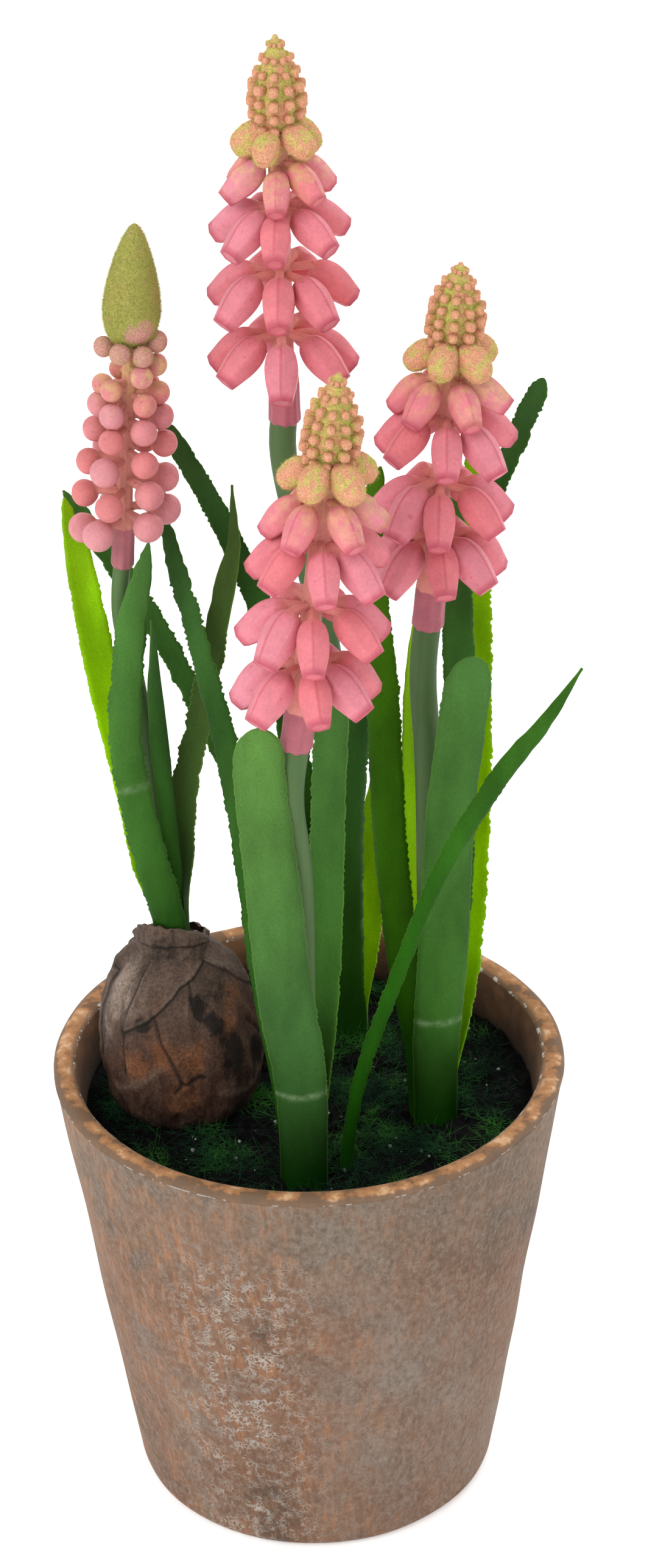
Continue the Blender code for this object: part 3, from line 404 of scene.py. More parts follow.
def smooth_through(points, count):
    """Points spaced evenly along a Catmull-Rom curve: each span is the cubic that leaves its ends along
    the chords of their neighbours. The second result is how far along each point is."""
    points = np.asarray(points, float)
    padded = np.concatenate([[2 * points[0] - points[1]], points, [2 * points[-1] - points[-2]]])
    share = np.linspace(0.0, 1.0, 24, endpoint=False)[None, :, None]
    before, start, end, after = (padded[k:len(points) - 1 + k, None] for k in range(4))
    fine = 0.5 * (2 * start + (end - before) * share + (2 * before - 5 * start + 4 * end - after) * share ** 2
                  + (3 * start - before - 3 * end + after) * share ** 3)
    fine = np.concatenate([fine.reshape(-1, points.shape[1]), points[-1:]])
    along = np.concatenate([[0.0], np.cumsum(np.linalg.norm(np.diff(fine, axis=0), axis=1))])
    places = np.linspace(0.0, along[-1], count) if np.isscalar(count) else count(along[-1])
    return np.stack([np.interp(places, along, axis) for axis in fine.T], axis=1), places


# Overlapping sheets of paper, as their (angle, share of the height) corners and how far they lift
SHEETS = (
    (((-30, 1.15), (-33, 1.0), (-39, 0.958), (-60, 0.935), (-84, 0.885), (-109, 0.745), (-134, 0.634),
      (-131, 0.76), (-124, 0.88),
      (-121, 1.15)), 0.0006),
    (((-45, 1.15), (-45, 0.99), (-39, 0.958), (-22, 0.883), (1, 0.729), (40, 0.60), (88, 0.72), (88, 1.15)), 0.0005),
    (((-170, 0.85), (-176, 0.62), (-173, 0.40), (-178, 0.22), (-215, 0.35), (-205, 0.85)), 0.0005),
    (((-268, 1.15), (-262, 0.62), (-240, 0.44), (-222, 0.55), (-214, 1.15)), 0.0005),
)
# Folds pressed in, and ridges raised where negative, with their depths
CREASES = (
    (((-109, 0.75), (-101, 0.604), (-92, 0.465), (-88, 0.39)), 0.0005),
    (((-88, 0.39), (-94, 0.336)), 0.0004),
    (((-88, 0.39), (-72, 0.42)), 0.0004),
    (((-134, 0.634), (-133, 0.521), (-132, 0.396)), 0.0004),
    (((-72, 0.902), (-74, 0.802)), 0.0003),
    (((-20, 0.60), (-5, 0.45), (10, 0.42)), 0.0004),
    (((-116, 0.9), (-118, 0.782), (-134, 0.696)), -0.0004),
    (((-140, 0.283), (-120, 0.36), (-104, 0.462)), -0.0003),
    (((-30, 0.94), (-8, 0.86), (12, 0.72)), -0.0003),
    (((-60, 0.30), (-38, 0.24), (-15, 0.28)), -0.0003),
)
# Stains as (angle, share of the height, reach)
DARK_STAINS = ((-68, 0.80, 0.0035), (-58, 0.68, 0.0045), (-45, 0.50, 0.0080), (-25, 0.33, 0.0085),
               (-118, 0.70, 0.0022), (-78, 0.06, 0.0070), (-130, 0.02, 0.0060), (-45, 0.05, 0.0090), (100, 0.5, 0.01))
RUSTY_STAINS = ((-101, 0.535, 0.0050), (-42, 0.68, 0.0050), (-120, 0.46, 0.0045), (-75, 0.53, 0.0045),
                (-88, 0.27, 0.0060), (-28, 0.78, 0.0045), (30, 0.5, 0.006))
# The pale patches lie mostly high on the front left, the lit side: partly paler paper and partly painted highlight.
PALE_STAINS_AND_HIGHLIGHTS = ((-148, 0.86, 0.0050), (-152, 0.74, 0.0045), (-136, 0.78, 0.0030), (-162, 0.58, 0.0035), (60, 0.8, 0.006))


def apart_from(line, turn, rise):
    """How far each place on the bulb lies from a line drawn over it: from the nearest of the line's
    straight pieces, measured on the skin rolled out flat."""
    scale = np.array((math.radians(BULB_RADIUS), BULB_NECK_TOP - BULB_FLOOR))
    places = np.stack([np.degrees(turn), rise], axis=-1) * scale
    corners = np.array(line) * scale
    nearest = np.full(turn.shape, np.inf)
    for start, end in zip(corners, corners[1:]):
        along = end - start
        share = np.clip((places - start) @ along / (along @ along), 0, 1)
        nearest = np.minimum(nearest, np.linalg.norm(places - start - share[..., None] * along, axis=-1))
    return nearest


def within(corners, turn, rise):
    """How far each place on the bulb lies inside a sheet, or outside it where negative: the distance from
    its edge, inside where the number of edges straight above is odd."""
    edge = (*corners, corners[0])
    degrees = np.degrees(turn)
    inside = np.zeros(turn.shape, bool)
    for (left, low), (right, high) in zip(edge, edge[1:]):
        if left != right:
            beside = (degrees < left) != (degrees < right)
            inside ^= beside & (rise < low + (degrees - left) * (high - low) / (right - left))
    return apart_from(edge, turn, rise) * np.where(inside, 1.0, -1.0)


def spot_strength(spots, turn, rise):
    """Strength of a group of round spots at each place, stains or pale patches that are partly painted highlight: the
    strongest of their bell curves.
    """
    strengths = [np.exp(-(apart_from(((angle, share), (angle + 0.1, share)), turn, rise) / reach) ** 2)
                 for angle, share, reach in spots]
    return np.max(strengths, axis=0)


def bulb_finish():
    """Brown paper: reddish below, greyer on the shoulder, with fine fibres, black and rusty stains, pale
    patches that are partly paler paper and partly painted highlight, painted shade in the creases and
    under the sheets' edges, and painted highlights along the sheets' edges and ridges."""
    skin = Finish("bulb_skin", Roughness=0.7, Specular_IOR_Level=0.15)
    fold_shading = skin.add("SeparateXYZ", Vector=skin.mark("paper_folds", "Vector")).outputs
    stain_and_highlight = skin.add("SeparateXYZ", Vector=skin.mark("paper_stains", "Vector")).outputs
    colour = skin.ramp(fold_shading[2], (0.0, (0.011, 0.006, 0.004)), (0.3, (0.052, 0.023, 0.014)),
                       (0.6, (0.070, 0.037, 0.024)), (1.0, (0.092, 0.062, 0.046)))
    fibres = skin.noise(260.0, 5.0, 0.75, (1.0, 1.0, 0.3), 0.5)
    colour = skin.mix(skin.ramp(fibres, (0.46, 0.0), (0.70, 0.45)), colour, (0.175, 0.108, 0.077))
    blotch = skin.ramp(skin.noise(105.0, 6.0, 0.72, (1.0, 1.0, 0.6)), (0.30, 0.0), (0.70, 0.62))
    rusty = skin.math("MULTIPLY_ADD", stain_and_highlight[1], 0.42, blotch)
    colour = skin.mix(skin.ramp(rusty, (0.48, 0.0), (0.72, 0.9)), colour, (0.170, 0.068, 0.031))
    # Pale patches: partly paler paper, partly painted highlight on the lit side.
    pale_and_highlight = skin.math("MULTIPLY", stain_and_highlight[2], skin.ramp(fibres, (0.30, 0.1), (0.62, 0.8)))
    colour = skin.mix(pale_and_highlight, colour, (0.36, 0.28, 0.225))
    dark = skin.math("MULTIPLY_ADD", stain_and_highlight[0], 0.42, blotch)
    speckle = skin.ramp(skin.noise(85.0, 7.0, 0.75), (0.54, 0.0), (0.66, 0.7))
    colour = skin.mix(skin.math("MAXIMUM", skin.ramp(dark, (0.54, 0.0), (0.68, 0.92)), speckle), colour,
                      (0.014, 0.011, 0.009))
    # The first value is painted shade: dark lines under the sheets' edges and in the creases, and in the collar's
    # pleats and cuff fold.
    colour = skin.mix(fold_shading[0], colour, (0.010, 0.007, 0.006))
    # The second value is a painted highlight along the sheets' edges and ridges on the bulb, and the pale straw colour
    # of the torn lip on the collar.
    colour = skin.mix(skin.math("MULTIPLY", fold_shading[1], 0.5), colour, (0.26, 0.20, 0.155))
    grain = skin.ramp(skin.noise(1500.0, 2.0, 0.7), (0.32, 0.66), (0.68, 1.30))
    colour = skin.mix(1.0, colour, grain, "MULTIPLY")
    crumple = skin.bump(skin.noise(210.0, 5.0, 0.7), 0.0010, 0.6)
    return skin.set(Base_Color=colour, Normal=skin.bump(fibres, 0.0005, 0.5, crumple))


bulb_outline, _ = smooth_through([(share * BULB_RADIUS, BULB_FLOOR + rise * (BULB_NECK_TOP - BULB_FLOOR))
                                  for share, rise in BULB_SHARES], BULB_ROWS)
bulb_rings = turned(bulb_outline, BULB_AROUND, BULB_CENTRE)
bulb_rise = (bulb_rings[..., 2] - BULB_FLOOR) / (BULB_NECK_TOP - BULB_FLOOR)
bulb_turn = (np.arange(BULB_AROUND) * math.tau / BULB_AROUND - math.pi / 2) % math.tau - 1.5 * math.pi
bulb_away = np.stack([np.cos(bulb_turn), np.sin(bulb_turn), np.zeros(BULB_AROUND)], axis=1)
bulb_turns = np.broadcast_to(bulb_turn, bulb_rise.shape)
bulb_relief = 0.00030 * np.sin(5 * bulb_turn + 0.6) + 0.00020 * np.sin(11 * bulb_turn)
bulb_relief = bulb_relief + 0.00022 * unevenness(bulb_rings * (1.0, 1.0, 0.6), 0.008, 5)
bulb_relief += 0.00022 * (1 - 2 * np.abs(unevenness(bulb_rings * (1.0, 1.0, 0.5), 0.007, 15)))
bulb_painted_shade, bulb_painted_highlight = np.zeros(bulb_rise.shape), np.zeros(bulb_rise.shape)
# Each sheet's edge lifts the skin; a painted shadow runs as a dark line just under the edge with soft painted shade
# below it, and a painted highlight runs along the edge.
for corners, lift in SHEETS:
    over = within(corners, bulb_turns, bulb_rise)
    bulb_relief += lift * np.exp(-np.clip(over, 0, None) / 0.008) * (0.5 + 0.5 * np.tanh(over / 0.0002))
    bulb_painted_shade = np.maximum(bulb_painted_shade, 0.92 * np.exp(-((over + 0.0003) / 0.0004) ** 2))
    bulb_painted_shade = np.maximum(bulb_painted_shade, 0.45 * np.exp(np.clip(over, None, 0) / 0.002) * (over < 0))
    bulb_painted_highlight = np.maximum(bulb_painted_highlight, 0.4 * np.exp(-((over - 0.0004) / 0.0004) ** 2))
for line, depth in CREASES:
    far = apart_from(line, bulb_turns, bulb_rise)
    if depth > 0:
        # Creases are pressed in, with a painted dark line of shade along them.
        bulb_relief -= depth * np.exp(-(far / 0.0006) ** 2) - 0.5 * depth * np.exp(-(far / 0.0018) ** 2)
        bulb_painted_shade = np.maximum(bulb_painted_shade, 0.9 * np.exp(-(far / 0.0005) ** 2))
    else:
        # Ridges are raised, with a painted highlight along them.
        bulb_relief -= depth * np.exp(-(far / 0.0013) ** 2)
        bulb_painted_highlight = np.maximum(bulb_painted_highlight, 0.4 * np.exp(-(far / 0.0010) ** 2))
bulb_rings += bulb_away * (bulb_relief * np.clip(bulb_rise * 6, 0, 1) * np.clip((1.02 - bulb_rise) * 12, 0, 1))[..., None]
bulb_rings[..., :2] += (BULB_FOOT - BULB_CENTRE) * (bulb_rise ** 2)[..., None]
bulb_stains_and_highlights = [spot_strength(spots, bulb_turns, bulb_rise) for spots in (DARK_STAINS, RUSTY_STAINS, PALE_STAINS_AND_HIGHLIGHTS)]
bulb_skin = bulb_finish()
ends = [[0, 0, 0], [0, 0, 1]]
dress("bulb_papery_skin", *closed_skin(bulb_rings), bulb_skin, "bulb_skin", ["bulb"],
      {"paper_folds": np.concatenate([np.stack([bulb_painted_shade, bulb_painted_highlight, bulb_rise], axis=-1).reshape(-1, 3), ends]),
       "paper_stains": np.concatenate([np.stack(bulb_stains_and_highlights, axis=-1).reshape(-1, 3), ends])})


def looped_skin(rings):
    """Faces through rings of points where the last ring joins the first, as round a hollow band."""
    rows, around = rings.shape[:2]
    here = np.arange(rows * around).reshape(rows, around)
    above, beside = np.roll(here, -1, axis=0), np.roll(here, -1, axis=1)
    return rings.reshape(-1, 3), [np.stack([here, beside, np.roll(above, -1, axis=1), above],
                                           axis=-1).reshape(-1, 4)]


# Height of the torn lip over the neck, and how far it leans out, round the neck by angle
LIP_ANGLES = (-270, -215, -185, -165, -130, -95, -60, -30, -5, 30, 90)
LIP_HEIGHTS = (0.0008, 0.0012, 0.0026, 0.0052, 0.0074, 0.0068, 0.0058, 0.0040, 0.0018, 0.0012, 0.0008)
LIP_LEANS = (-0.0006, 0.0, 0.0012, 0.0014, 0.0002, -0.0002, -0.0002, 0.0004, 0.0012, 0.0006, -0.0006)
# The cone that carries the bulb's shoulder up, the folded cuff round it and the lip: (share, how far out)
CUFF = ((0.0, 0.0016), (0.25, 0.0014), (0.50, 0.0009), (0.53, 0.0016), (0.78, 0.0013), (1.0, 0.0))

collar_rise = np.linspace(0.0, 1.0, COLLAR_ROWS)[:, None]
collar_degrees = np.degrees(bulb_turn)
lip_height = np.interp(collar_degrees, LIP_ANGLES, LIP_HEIGHTS)
lip_lean = np.interp(collar_degrees, LIP_ANGLES, LIP_LEANS)
lip_height = lip_height + 0.00045 * np.abs(np.sin(4.5 * bulb_turn + 1.0)) + 0.00012 * np.sin(19 * bulb_turn)
pleats = 0.0006 * (np.abs(np.sin(2.5 * bulb_turn + 0.4)) + 0.6 * np.abs(np.sin(6.5 * bulb_turn)) - 0.9)
cuff_share = collar_rise + 0.05 * np.sin(2 * bulb_turn + 0.5) * np.sin(math.pi * collar_rise)
collar_out = np.interp(cuff_share, *np.array(CUFF).T) + lip_lean * collar_rise ** 2
collar_in = np.broadcast_to(bulb_rings[-1], (COLLAR_ROWS, BULB_AROUND, 3)).copy()
collar_in += bulb_away * (collar_out + pleats * np.clip(collar_rise * 2, 0, 1))[..., None]
collar_in[..., 2] += (lip_height + 0.0021) * collar_rise - 0.0021
collar_crumple = 0.00022 * unevenness(collar_in, 0.004, 6) - 0.00035 * np.abs(unevenness(collar_in, 0.005, 16))
collar_in += bulb_away * collar_crumple[..., None]
collar_rings = np.concatenate([collar_in + bulb_away * COLLAR_THICK, collar_in[::-1]])
collar_share = np.concatenate([collar_rise, collar_rise[::-1]]) * np.ones(BULB_AROUND)
collar_straw = np.clip(collar_share * 12 - 11, 0, 1) * (0.25 + 0.75 * np.exp(-((collar_degrees + 15) / 30) ** 2))
# Painted shade in the pleats' hollows and along the cuff's fold.
collar_painted_shade = np.maximum(np.clip(-pleats / 0.0005, 0, 1) * 0.4,
                         0.85 * np.exp(-((np.concatenate([cuff_share, cuff_share[::-1]]) - 0.49) / 0.05) ** 2))
dress("bulb_torn_collar", *looped_skin(collar_rings), bulb_skin, "bulb_skin", ["bulb_collar"],
      {"paper_folds": np.stack([collar_painted_shade, collar_straw, np.ones(collar_share.shape)], axis=-1).reshape(-1, 3),
       "paper_stains": np.zeros((collar_share.size, 3))})


# Leaves: eighteen straps of green plastic with fine ribs and ragged trimmed edges, rolled round a stem's
# foot where they stand in the soil or in the bulb's neck, and opening to a shallow gutter above it.

STEM_RADIUS, BULB_STEM_RADIUS = 0.003, 0.0019
FRONT_FOOT, BACK_FOOT, RIGHT_FOOT = (-0.0013, -0.0323), (0.0105, 0.0270), (0.0283, -0.0085)
GRASS_FOOT = (0.0085, -0.0315)
LEAF_THICK, FIRST_RING, RING_PITCH, GRASS_GUTTER = 0.0006, 0.00085, 0.0012, 0.004
LEAF_HOLE, BULB_SOCKET = 0.0117, 0.0157
LEAF_ACROSS, LEAF_ROW, LEAF_TIP_ROWS = 8, 0.0005, 18

Leaf = namedtuple("Leaf", "name foot ring faces turned path widths tip blunt opens cup ragged shade")

LEAVES = (
    Leaf("leaf_front_broad", FRONT_FOOT, 3, -95, -85,
         ((-0.002, -0.0395, 0.131), (-0.005, -0.040, 0.157), (-0.007, -0.0405, 0.184),
          (-0.009, -0.041, 0.209), (-0.009, -0.041, 0.2226)),
         (0.0125, 0.0128, 0.0125, 0.0116, 0.0112), 0.009, 0.5, 0.05, 1.2, 0.00010, "light"),
    Leaf("leaf_front_left", FRONT_FOOT, 2, 185, 250,
         ((-0.0095, -0.025, 0.137), (-0.0125, -0.012, 0.167), (-0.0165, -0.002, 0.192),
          (-0.022, 0.007, 0.215), (-0.027, 0.0165, 0.231), (-0.0300, 0.0245, 0.2430)),
         (0.0080, 0.0068, 0.0062, 0.0060, 0.0052, 0.0046), 0.016, 0.6, 0.06, 0.9, 0.00028, "dark"),
    Leaf("leaf_front_inner", FRONT_FOOT, 1, 60, 75,
         ((0.0035, -0.025, 0.142), (0.005, -0.020, 0.172), (0.006, -0.0165, 0.197),
          (0.0075, -0.013, 0.221)),
         (0.0076, 0.0080, 0.0082, 0.0078), 0.012, 0.6, 0.05, 1.0, 0.00015, "mid"),
    Leaf("leaf_grass", GRASS_FOOT, 0, -60, -80,
         ((0.012, -0.031, 0.1285), (0.020, -0.0295, 0.1525), (0.0295, -0.028, 0.178),
          (0.0425, -0.0265, 0.201), (0.052, -0.026, 0.214), (0.060, -0.025, 0.2267)),
         (0.0034, 0.0035, 0.0036, 0.0050, 0.0048, 0.0036), 0.030, 0.8, 0.03, 1.3, 0.00012, "grass"),
    Leaf("leaf_back_far_left", BACK_FOOT, 2, 180, 112,
         ((-0.0010, 0.0263, 0.139), (-0.0165, 0.0245, 0.1765), (-0.0295, 0.0235, 0.208),
          (-0.041, 0.0225, 0.231), (-0.0515, 0.022, 0.249)),
         (0.0060, 0.0055, 0.0054, 0.0052, 0.0050), 0.018, 0.6, 0.03, 1.0, 0.00028, "mid"),
    Leaf("leaf_back_left", BACK_FOOT, 1, 185, 105,
         ((0.0045, 0.0268, 0.1435), (-0.0015, 0.026, 0.177), (-0.0055, 0.0258, 0.206),
          (-0.014, 0.0255, 0.232), (-0.0225, 0.025, 0.251), (-0.030, 0.025, 0.2645)),
         (0.0062, 0.0066, 0.0068, 0.0062, 0.0050, 0.0044), 0.010, 0.5, 0.09, 1.0, 0.00016, "dark"),
    Leaf("leaf_back_centre", BACK_FOOT, 2, -90, -82,
         ((0.0098, 0.0205, 0.122), (0.010, 0.019, 0.156), (0.0117, 0.018, 0.184),
          (0.015, 0.017, 0.2045)),
         (0.0082, 0.0084, 0.0082, 0.0078), 0.014, 0.6, 0.06, 0.9, 0.0002, "dark"),
    Leaf("leaf_back_right", BACK_FOOT, 1, 45, 75,
         ((0.0145, 0.0312, 0.120), (0.0160, 0.0325, 0.138), (0.0172, 0.034, 0.155),
          (0.0185, 0.036, 0.1755)),
         (0.0070, 0.0072, 0.0074, 0.0066), 0.026, 0.8, 0.03, 0.8, 0.00030, "backlit"),
    Leaf("leaf_right_left", RIGHT_FOOT, 2, 222, 250,
         ((0.0238, -0.0134, 0.124), (0.0216, -0.0118, 0.147), (0.0190, -0.0055, 0.174),
          (0.0180, 0.0035, 0.203), (0.0165, 0.0105, 0.224), (0.016, 0.0135, 0.242), (0.0185, 0.016, 0.256)),
         (0.0088, 0.0086, 0.0084, 0.0082, 0.0080, 0.0070, 0.0055), 0.014, 0.6, 0.05, 1.0, 0.00016, "sunlit"),
    Leaf("leaf_right_hidden", RIGHT_FOOT, 1, 160, 118,
         ((0.0252, -0.001, 0.134), (0.0246, 0.006, 0.172), (0.0250, 0.010, 0.201),
          (0.0265, 0.0135, 0.222)),
         (0.0060, 0.0060, 0.0060, 0.0050), 0.020, 0.7, 0.06, 0.9, 0.00016, "backlit"),
    Leaf("leaf_right_front", RIGHT_FOOT, 3, -75, -82,
         ((0.0298, -0.0165, 0.126), (0.031, -0.0165, 0.152), (0.0325, -0.0155, 0.183),
          (0.035, -0.0140, 0.206), (0.0375, -0.0125, 0.2235)),
         (0.0122, 0.0118, 0.0114, 0.0112, 0.0108), 0.009, 0.5, 0.05, 1.2, 0.00010, "mid"),
    Leaf("leaf_right_inner", RIGHT_FOOT, 1, 40, 78,
         ((0.0325, -0.003, 0.127), (0.0352, 0.004, 0.163), (0.036, 0.0105, 0.199),
          (0.0352, 0.0165, 0.226), (0.034, 0.0205, 0.248), (0.034, 0.023, 0.267)),
         (0.0074, 0.0076, 0.0078, 0.0076, 0.0066, 0.0050), 0.016, 0.6, 0.05, 1.0, 0.00016, "mid"),
    Leaf("leaf_right_upright", RIGHT_FOOT, 2, 20, 72,
         ((0.035, -0.004, 0.1205), (0.0372, 0.002, 0.142), (0.039, 0.008, 0.165),
          (0.0400, 0.017, 0.206), (0.0400, 0.024, 0.240), (0.0408, 0.029, 0.2675)),
         (0.0078, 0.0078, 0.0078, 0.0074, 0.0066, 0.0052), 0.018, 0.6, 0.04, 1.0, 0.00030, "backlit"),
    Leaf("leaf_right_far", RIGHT_FOOT, 3, 88, 76,
         ((0.0320, 0.003, 0.125), (0.0345, 0.010, 0.147), (0.036, 0.018, 0.183),
          (0.0376, 0.026, 0.215), (0.0415, 0.032, 0.234), (0.0495, 0.035, 0.2535), (0.0555, 0.037, 0.2670)),
         (0.0074, 0.0070, 0.0066, 0.0060, 0.0056, 0.0052, 0.0050), 0.006, 0.5, 0.04, 1.0, 0.00018, "dark"),
    Leaf("leaf_bulb_front", BULB_FOOT, 3, -90, -80,
         ((-0.0322, -0.0045, 0.158), (-0.0352, -0.0045, 0.173), (-0.038, -0.0035, 0.188),
          (-0.039, -0.001, 0.2025), (-0.037, 0.003, 0.2225), (-0.0325, 0.0075, 0.2430)),
         (0.0080, 0.0080, 0.0078, 0.0076, 0.0070, 0.0044), 0.020, 0.6, 0.022, 0.9, 0.00022, "mid"),
    Leaf("leaf_bulb_left", BULB_FOOT, 2, 180, 115,
         ((-0.0369, 0.0045, 0.164), (-0.0405, 0.0075, 0.1885), (-0.044, 0.010, 0.2065),
          (-0.047, 0.0125, 0.225), (-0.049, 0.0145, 0.239), (-0.051, 0.016, 0.250)),
         (0.0062, 0.0070, 0.0080, 0.0080, 0.0070, 0.0056), 0.018, 0.6, 0.02, 1.0, 0.00016, "backlit"),
    Leaf("leaf_bulb_right", BULB_FOOT, 2, 5, 68,
         ((-0.0275, 0.006, 0.164), (-0.0262, 0.0095, 0.1815), (-0.022, 0.0135, 0.199),
          (-0.0185, 0.0165, 0.216), (-0.0145, 0.0195, 0.235), (-0.0142, 0.022, 0.2495)),
         (0.0060, 0.0068, 0.0064, 0.0058, 0.0052, 0.0036), 0.034, 0.8, 0.02, 0.7, 0.00028, "olive"),
    Leaf("leaf_bulb_inner", BULB_FOOT, 1, -35, -55,
         ((-0.0290, 0.0005, 0.156), (-0.0298, 0.0005, 0.1695), (-0.0310, 0.002, 0.187),
          (-0.0320, 0.003, 0.204), (-0.0325, 0.0035, 0.226)),
         (0.0046, 0.0050, 0.0052, 0.0048, 0.0034), 0.034, 0.8, 0.02, 0.8, 0.00010, "dark"),
)

# Each shade as the colour at the leaf's foot, at its middle and at its tip. The light, mid, dark,
# sunlit and backlit shades are lit and shaded copies of one green, so they carry painted light and
# shade; in every shade the foot colour is darkened as painted shade down in the pot.
LEAF_PAINTED_LIGHT_SHADES = {
    "light": ((0.003, 0.027, 0.0008), (0.043, 0.120, 0.026), (0.086, 0.205, 0.040)),
    "mid": ((0.005, 0.034, 0.001), (0.046, 0.145, 0.020), (0.064, 0.172, 0.035)),
    "dark": ((0.008, 0.050, 0.002), (0.026, 0.095, 0.009), (0.036, 0.100, 0.022)),
    "backlit": ((0.10, 0.28, 0.0005), (0.24, 0.50, 0.0005), (0.17, 0.36, 0.004)),
    "sunlit": ((0.006, 0.050, 0.0005), (0.028, 0.105, 0.0005), (0.045, 0.140, 0.003)),
    "olive": ((0.028, 0.085, 0.012), (0.052, 0.100, 0.020), (0.060, 0.110, 0.022)),
    "grass": ((0.006, 0.050, 0.001), (0.015, 0.090, 0.002), (0.038, 0.130, 0.012)),
}
# Painted glow: the backlit leaves give off their own colour as light, standing in for light shining through them from
# behind, as a share of that colour
LEAF_PAINTED_GLOW = {"backlit": 0.22}
# Where a leaf was bent and set straight again, as a share of its length
LEAF_CREASES = {"leaf_front_broad": 0.282, "leaf_right_front": 0.31, "leaf_bulb_front": 0.51}


def unit(vectors):
    return vectors / np.linalg.norm(vectors, axis=-1, keepdims=True)


class Effect(Nodes):
    """A shared effect under construction: a shader node group with named inputs and outputs."""

    def __init__(self, name, takes, gives):
        super().__init__(bpy.data.node_groups.new(name, "ShaderNodeTree"))
        for way, sockets in (("INPUT", takes), ("OUTPUT", gives)):
            for socket, kind in sockets.items():
                self.tree.interface.new_socket(socket, in_out=way, socket_type="NodeSocket" + kind)
        self.taken = self.tree.nodes.new("NodeGroupInput").outputs
        self.given = self.tree.nodes.new("NodeGroupOutput").inputs

    def give(self, **outputs):
        for name, value in outputs.items():
            self.join(value, self.given[name])


def leaf_rows(length, tip):
    """Places along a leaf: even rows, then closer ones through the rounded tip."""
    body = np.arange(0.0, length - tip, LEAF_ROW)
    return np.concatenate([body, length - tip * (1 - np.sin(np.linspace(0.0, math.pi / 2, LEAF_TIP_ROWS)))])


def blade(leaf, seed):
    """A leaf's closed strap. Each row is an arc round an axis beside the leaf's path: its bend is the
    stem's ring at the foot and eases to the leaf's own gutter, and its outward side turns with it."""
    in_bulb = leaf.foot is BULB_FOOT
    mouth, hole = (BULB_NECK_TOP, BULB_SOCKET) if in_bulb else (SOIL_TOP, LEAF_HOLE)
    stem = BULB_STEM_RADIUS if in_bulb else STEM_RADIUS
    radius = stem + FIRST_RING + (leaf.ring - 1) * RING_PITCH if leaf.ring else GRASS_GUTTER
    first = math.radians(leaf.faces)
    root = np.array(leaf.foot) + (radius * np.array((math.cos(first), math.sin(first))) if leaf.ring else 0.0)
    path = [(*root, mouth - hole), (*root, mouth - 0.001), (*root, mouth + 0.006), *leaf.path]
    middle, places = smooth_through(path, lambda length: leaf_rows(length, leaf.tip))
    length = places[-1]
    heading = unit(np.gradient(middle, np.maximum(places, np.arange(len(places)) * 1e-9), axis=0))
    knots = np.linspace(hole, length, len(leaf.widths) + 1)
    width = np.interp(places, [0.0, *knots], (leaf.widths[0], leaf.widths[0], *leaf.widths))
    end = np.clip((places - (length - leaf.tip)) / leaf.tip, 0.0, 0.999)
    width = np.maximum(width * (1 - end ** 2) ** leaf.blunt, 0.0006)
    opened = np.clip((places - hole - 0.003) / leaf.opens, 0.0, 1.0)
    opened = opened * opened * (3 - 2 * opened)
    bend = ((1 - opened) / radius + opened / (leaf.cup * max(leaf.widths)))[:, None]
    facing = np.radians(leaf.faces + (leaf.turned - leaf.faces) * opened)
    outward = np.stack([np.cos(facing), np.sin(facing), np.zeros_like(facing)], axis=1)
    outward = unit(outward - heading * (outward * heading).sum(axis=1, keepdims=True))
    sideways = np.cross(heading, outward)
    random = np.random.default_rng(seed)
    cuts = random.normal(0.0, 1.0, (len(places), 2))
    cuts = 0.75 * cuts + 0.4 * (np.roll(cuts, 1, axis=0) + np.roll(cuts, 3, axis=0))
    cuts = cuts * leaf.ragged * (places > hole + 0.012)[:, None]
    half = 0.5 * width[:, None] + cuts * np.clip(width / 0.003 - 0.2, 0.0, 1.0)[:, None]
    across = np.linspace(-1.0, 1.0, LEAF_ACROSS)
    arc = bend * np.where(across < 0, half[:, :1], half[:, 1:]) * across
    centre = (middle - outward / bend)[:, None]
    spoke = (outward[:, None] * np.cos(arc)[..., None] + sideways[:, None] * np.sin(arc)[..., None])
    thick = 0.5 * LEAF_THICK * (1 - 0.5 * across ** 6)
    reach = np.stack([1 / bend + thick, (1 / bend - thick)[:, ::-1]])
    outer = centre + spoke * reach[0][..., None]
    inner = centre + spoke[:, ::-1] * reach[1][..., None]
    rings = np.concatenate([outer, inner], axis=1)
    share = np.broadcast_to((places / length)[:, None], (len(places), 2 * LEAF_ACROSS))
    sides = np.concatenate([across, across[::-1]]) * np.ones((len(places), 1))
    marks = np.stack([sides * half.mean(axis=1)[:, None] * 1000, share, sides], axis=-1).reshape(-1, 3)
    crease = np.exp(-((share - LEAF_CREASES.get(leaf.name, -1.0)) * length / 0.0008) ** 2).ravel()
    points, faces = closed_skin(rings)
    return points, faces, {"blade": np.concatenate([marks, [[0, 0, 0], [0, 1, 0]]]),
                           "crease": np.concatenate([crease, [0.0, 0.0]])}


leaf_surface = Effect("leaf_surface", {"Foot": "Color", "Middle": "Color", "Tip": "Color"},
                      {"Colour": "Color", "Normal": "Vector"})
leaf_split = leaf_surface.add("SeparateXYZ", Vector=leaf_surface.mark("blade", "Vector")).outputs
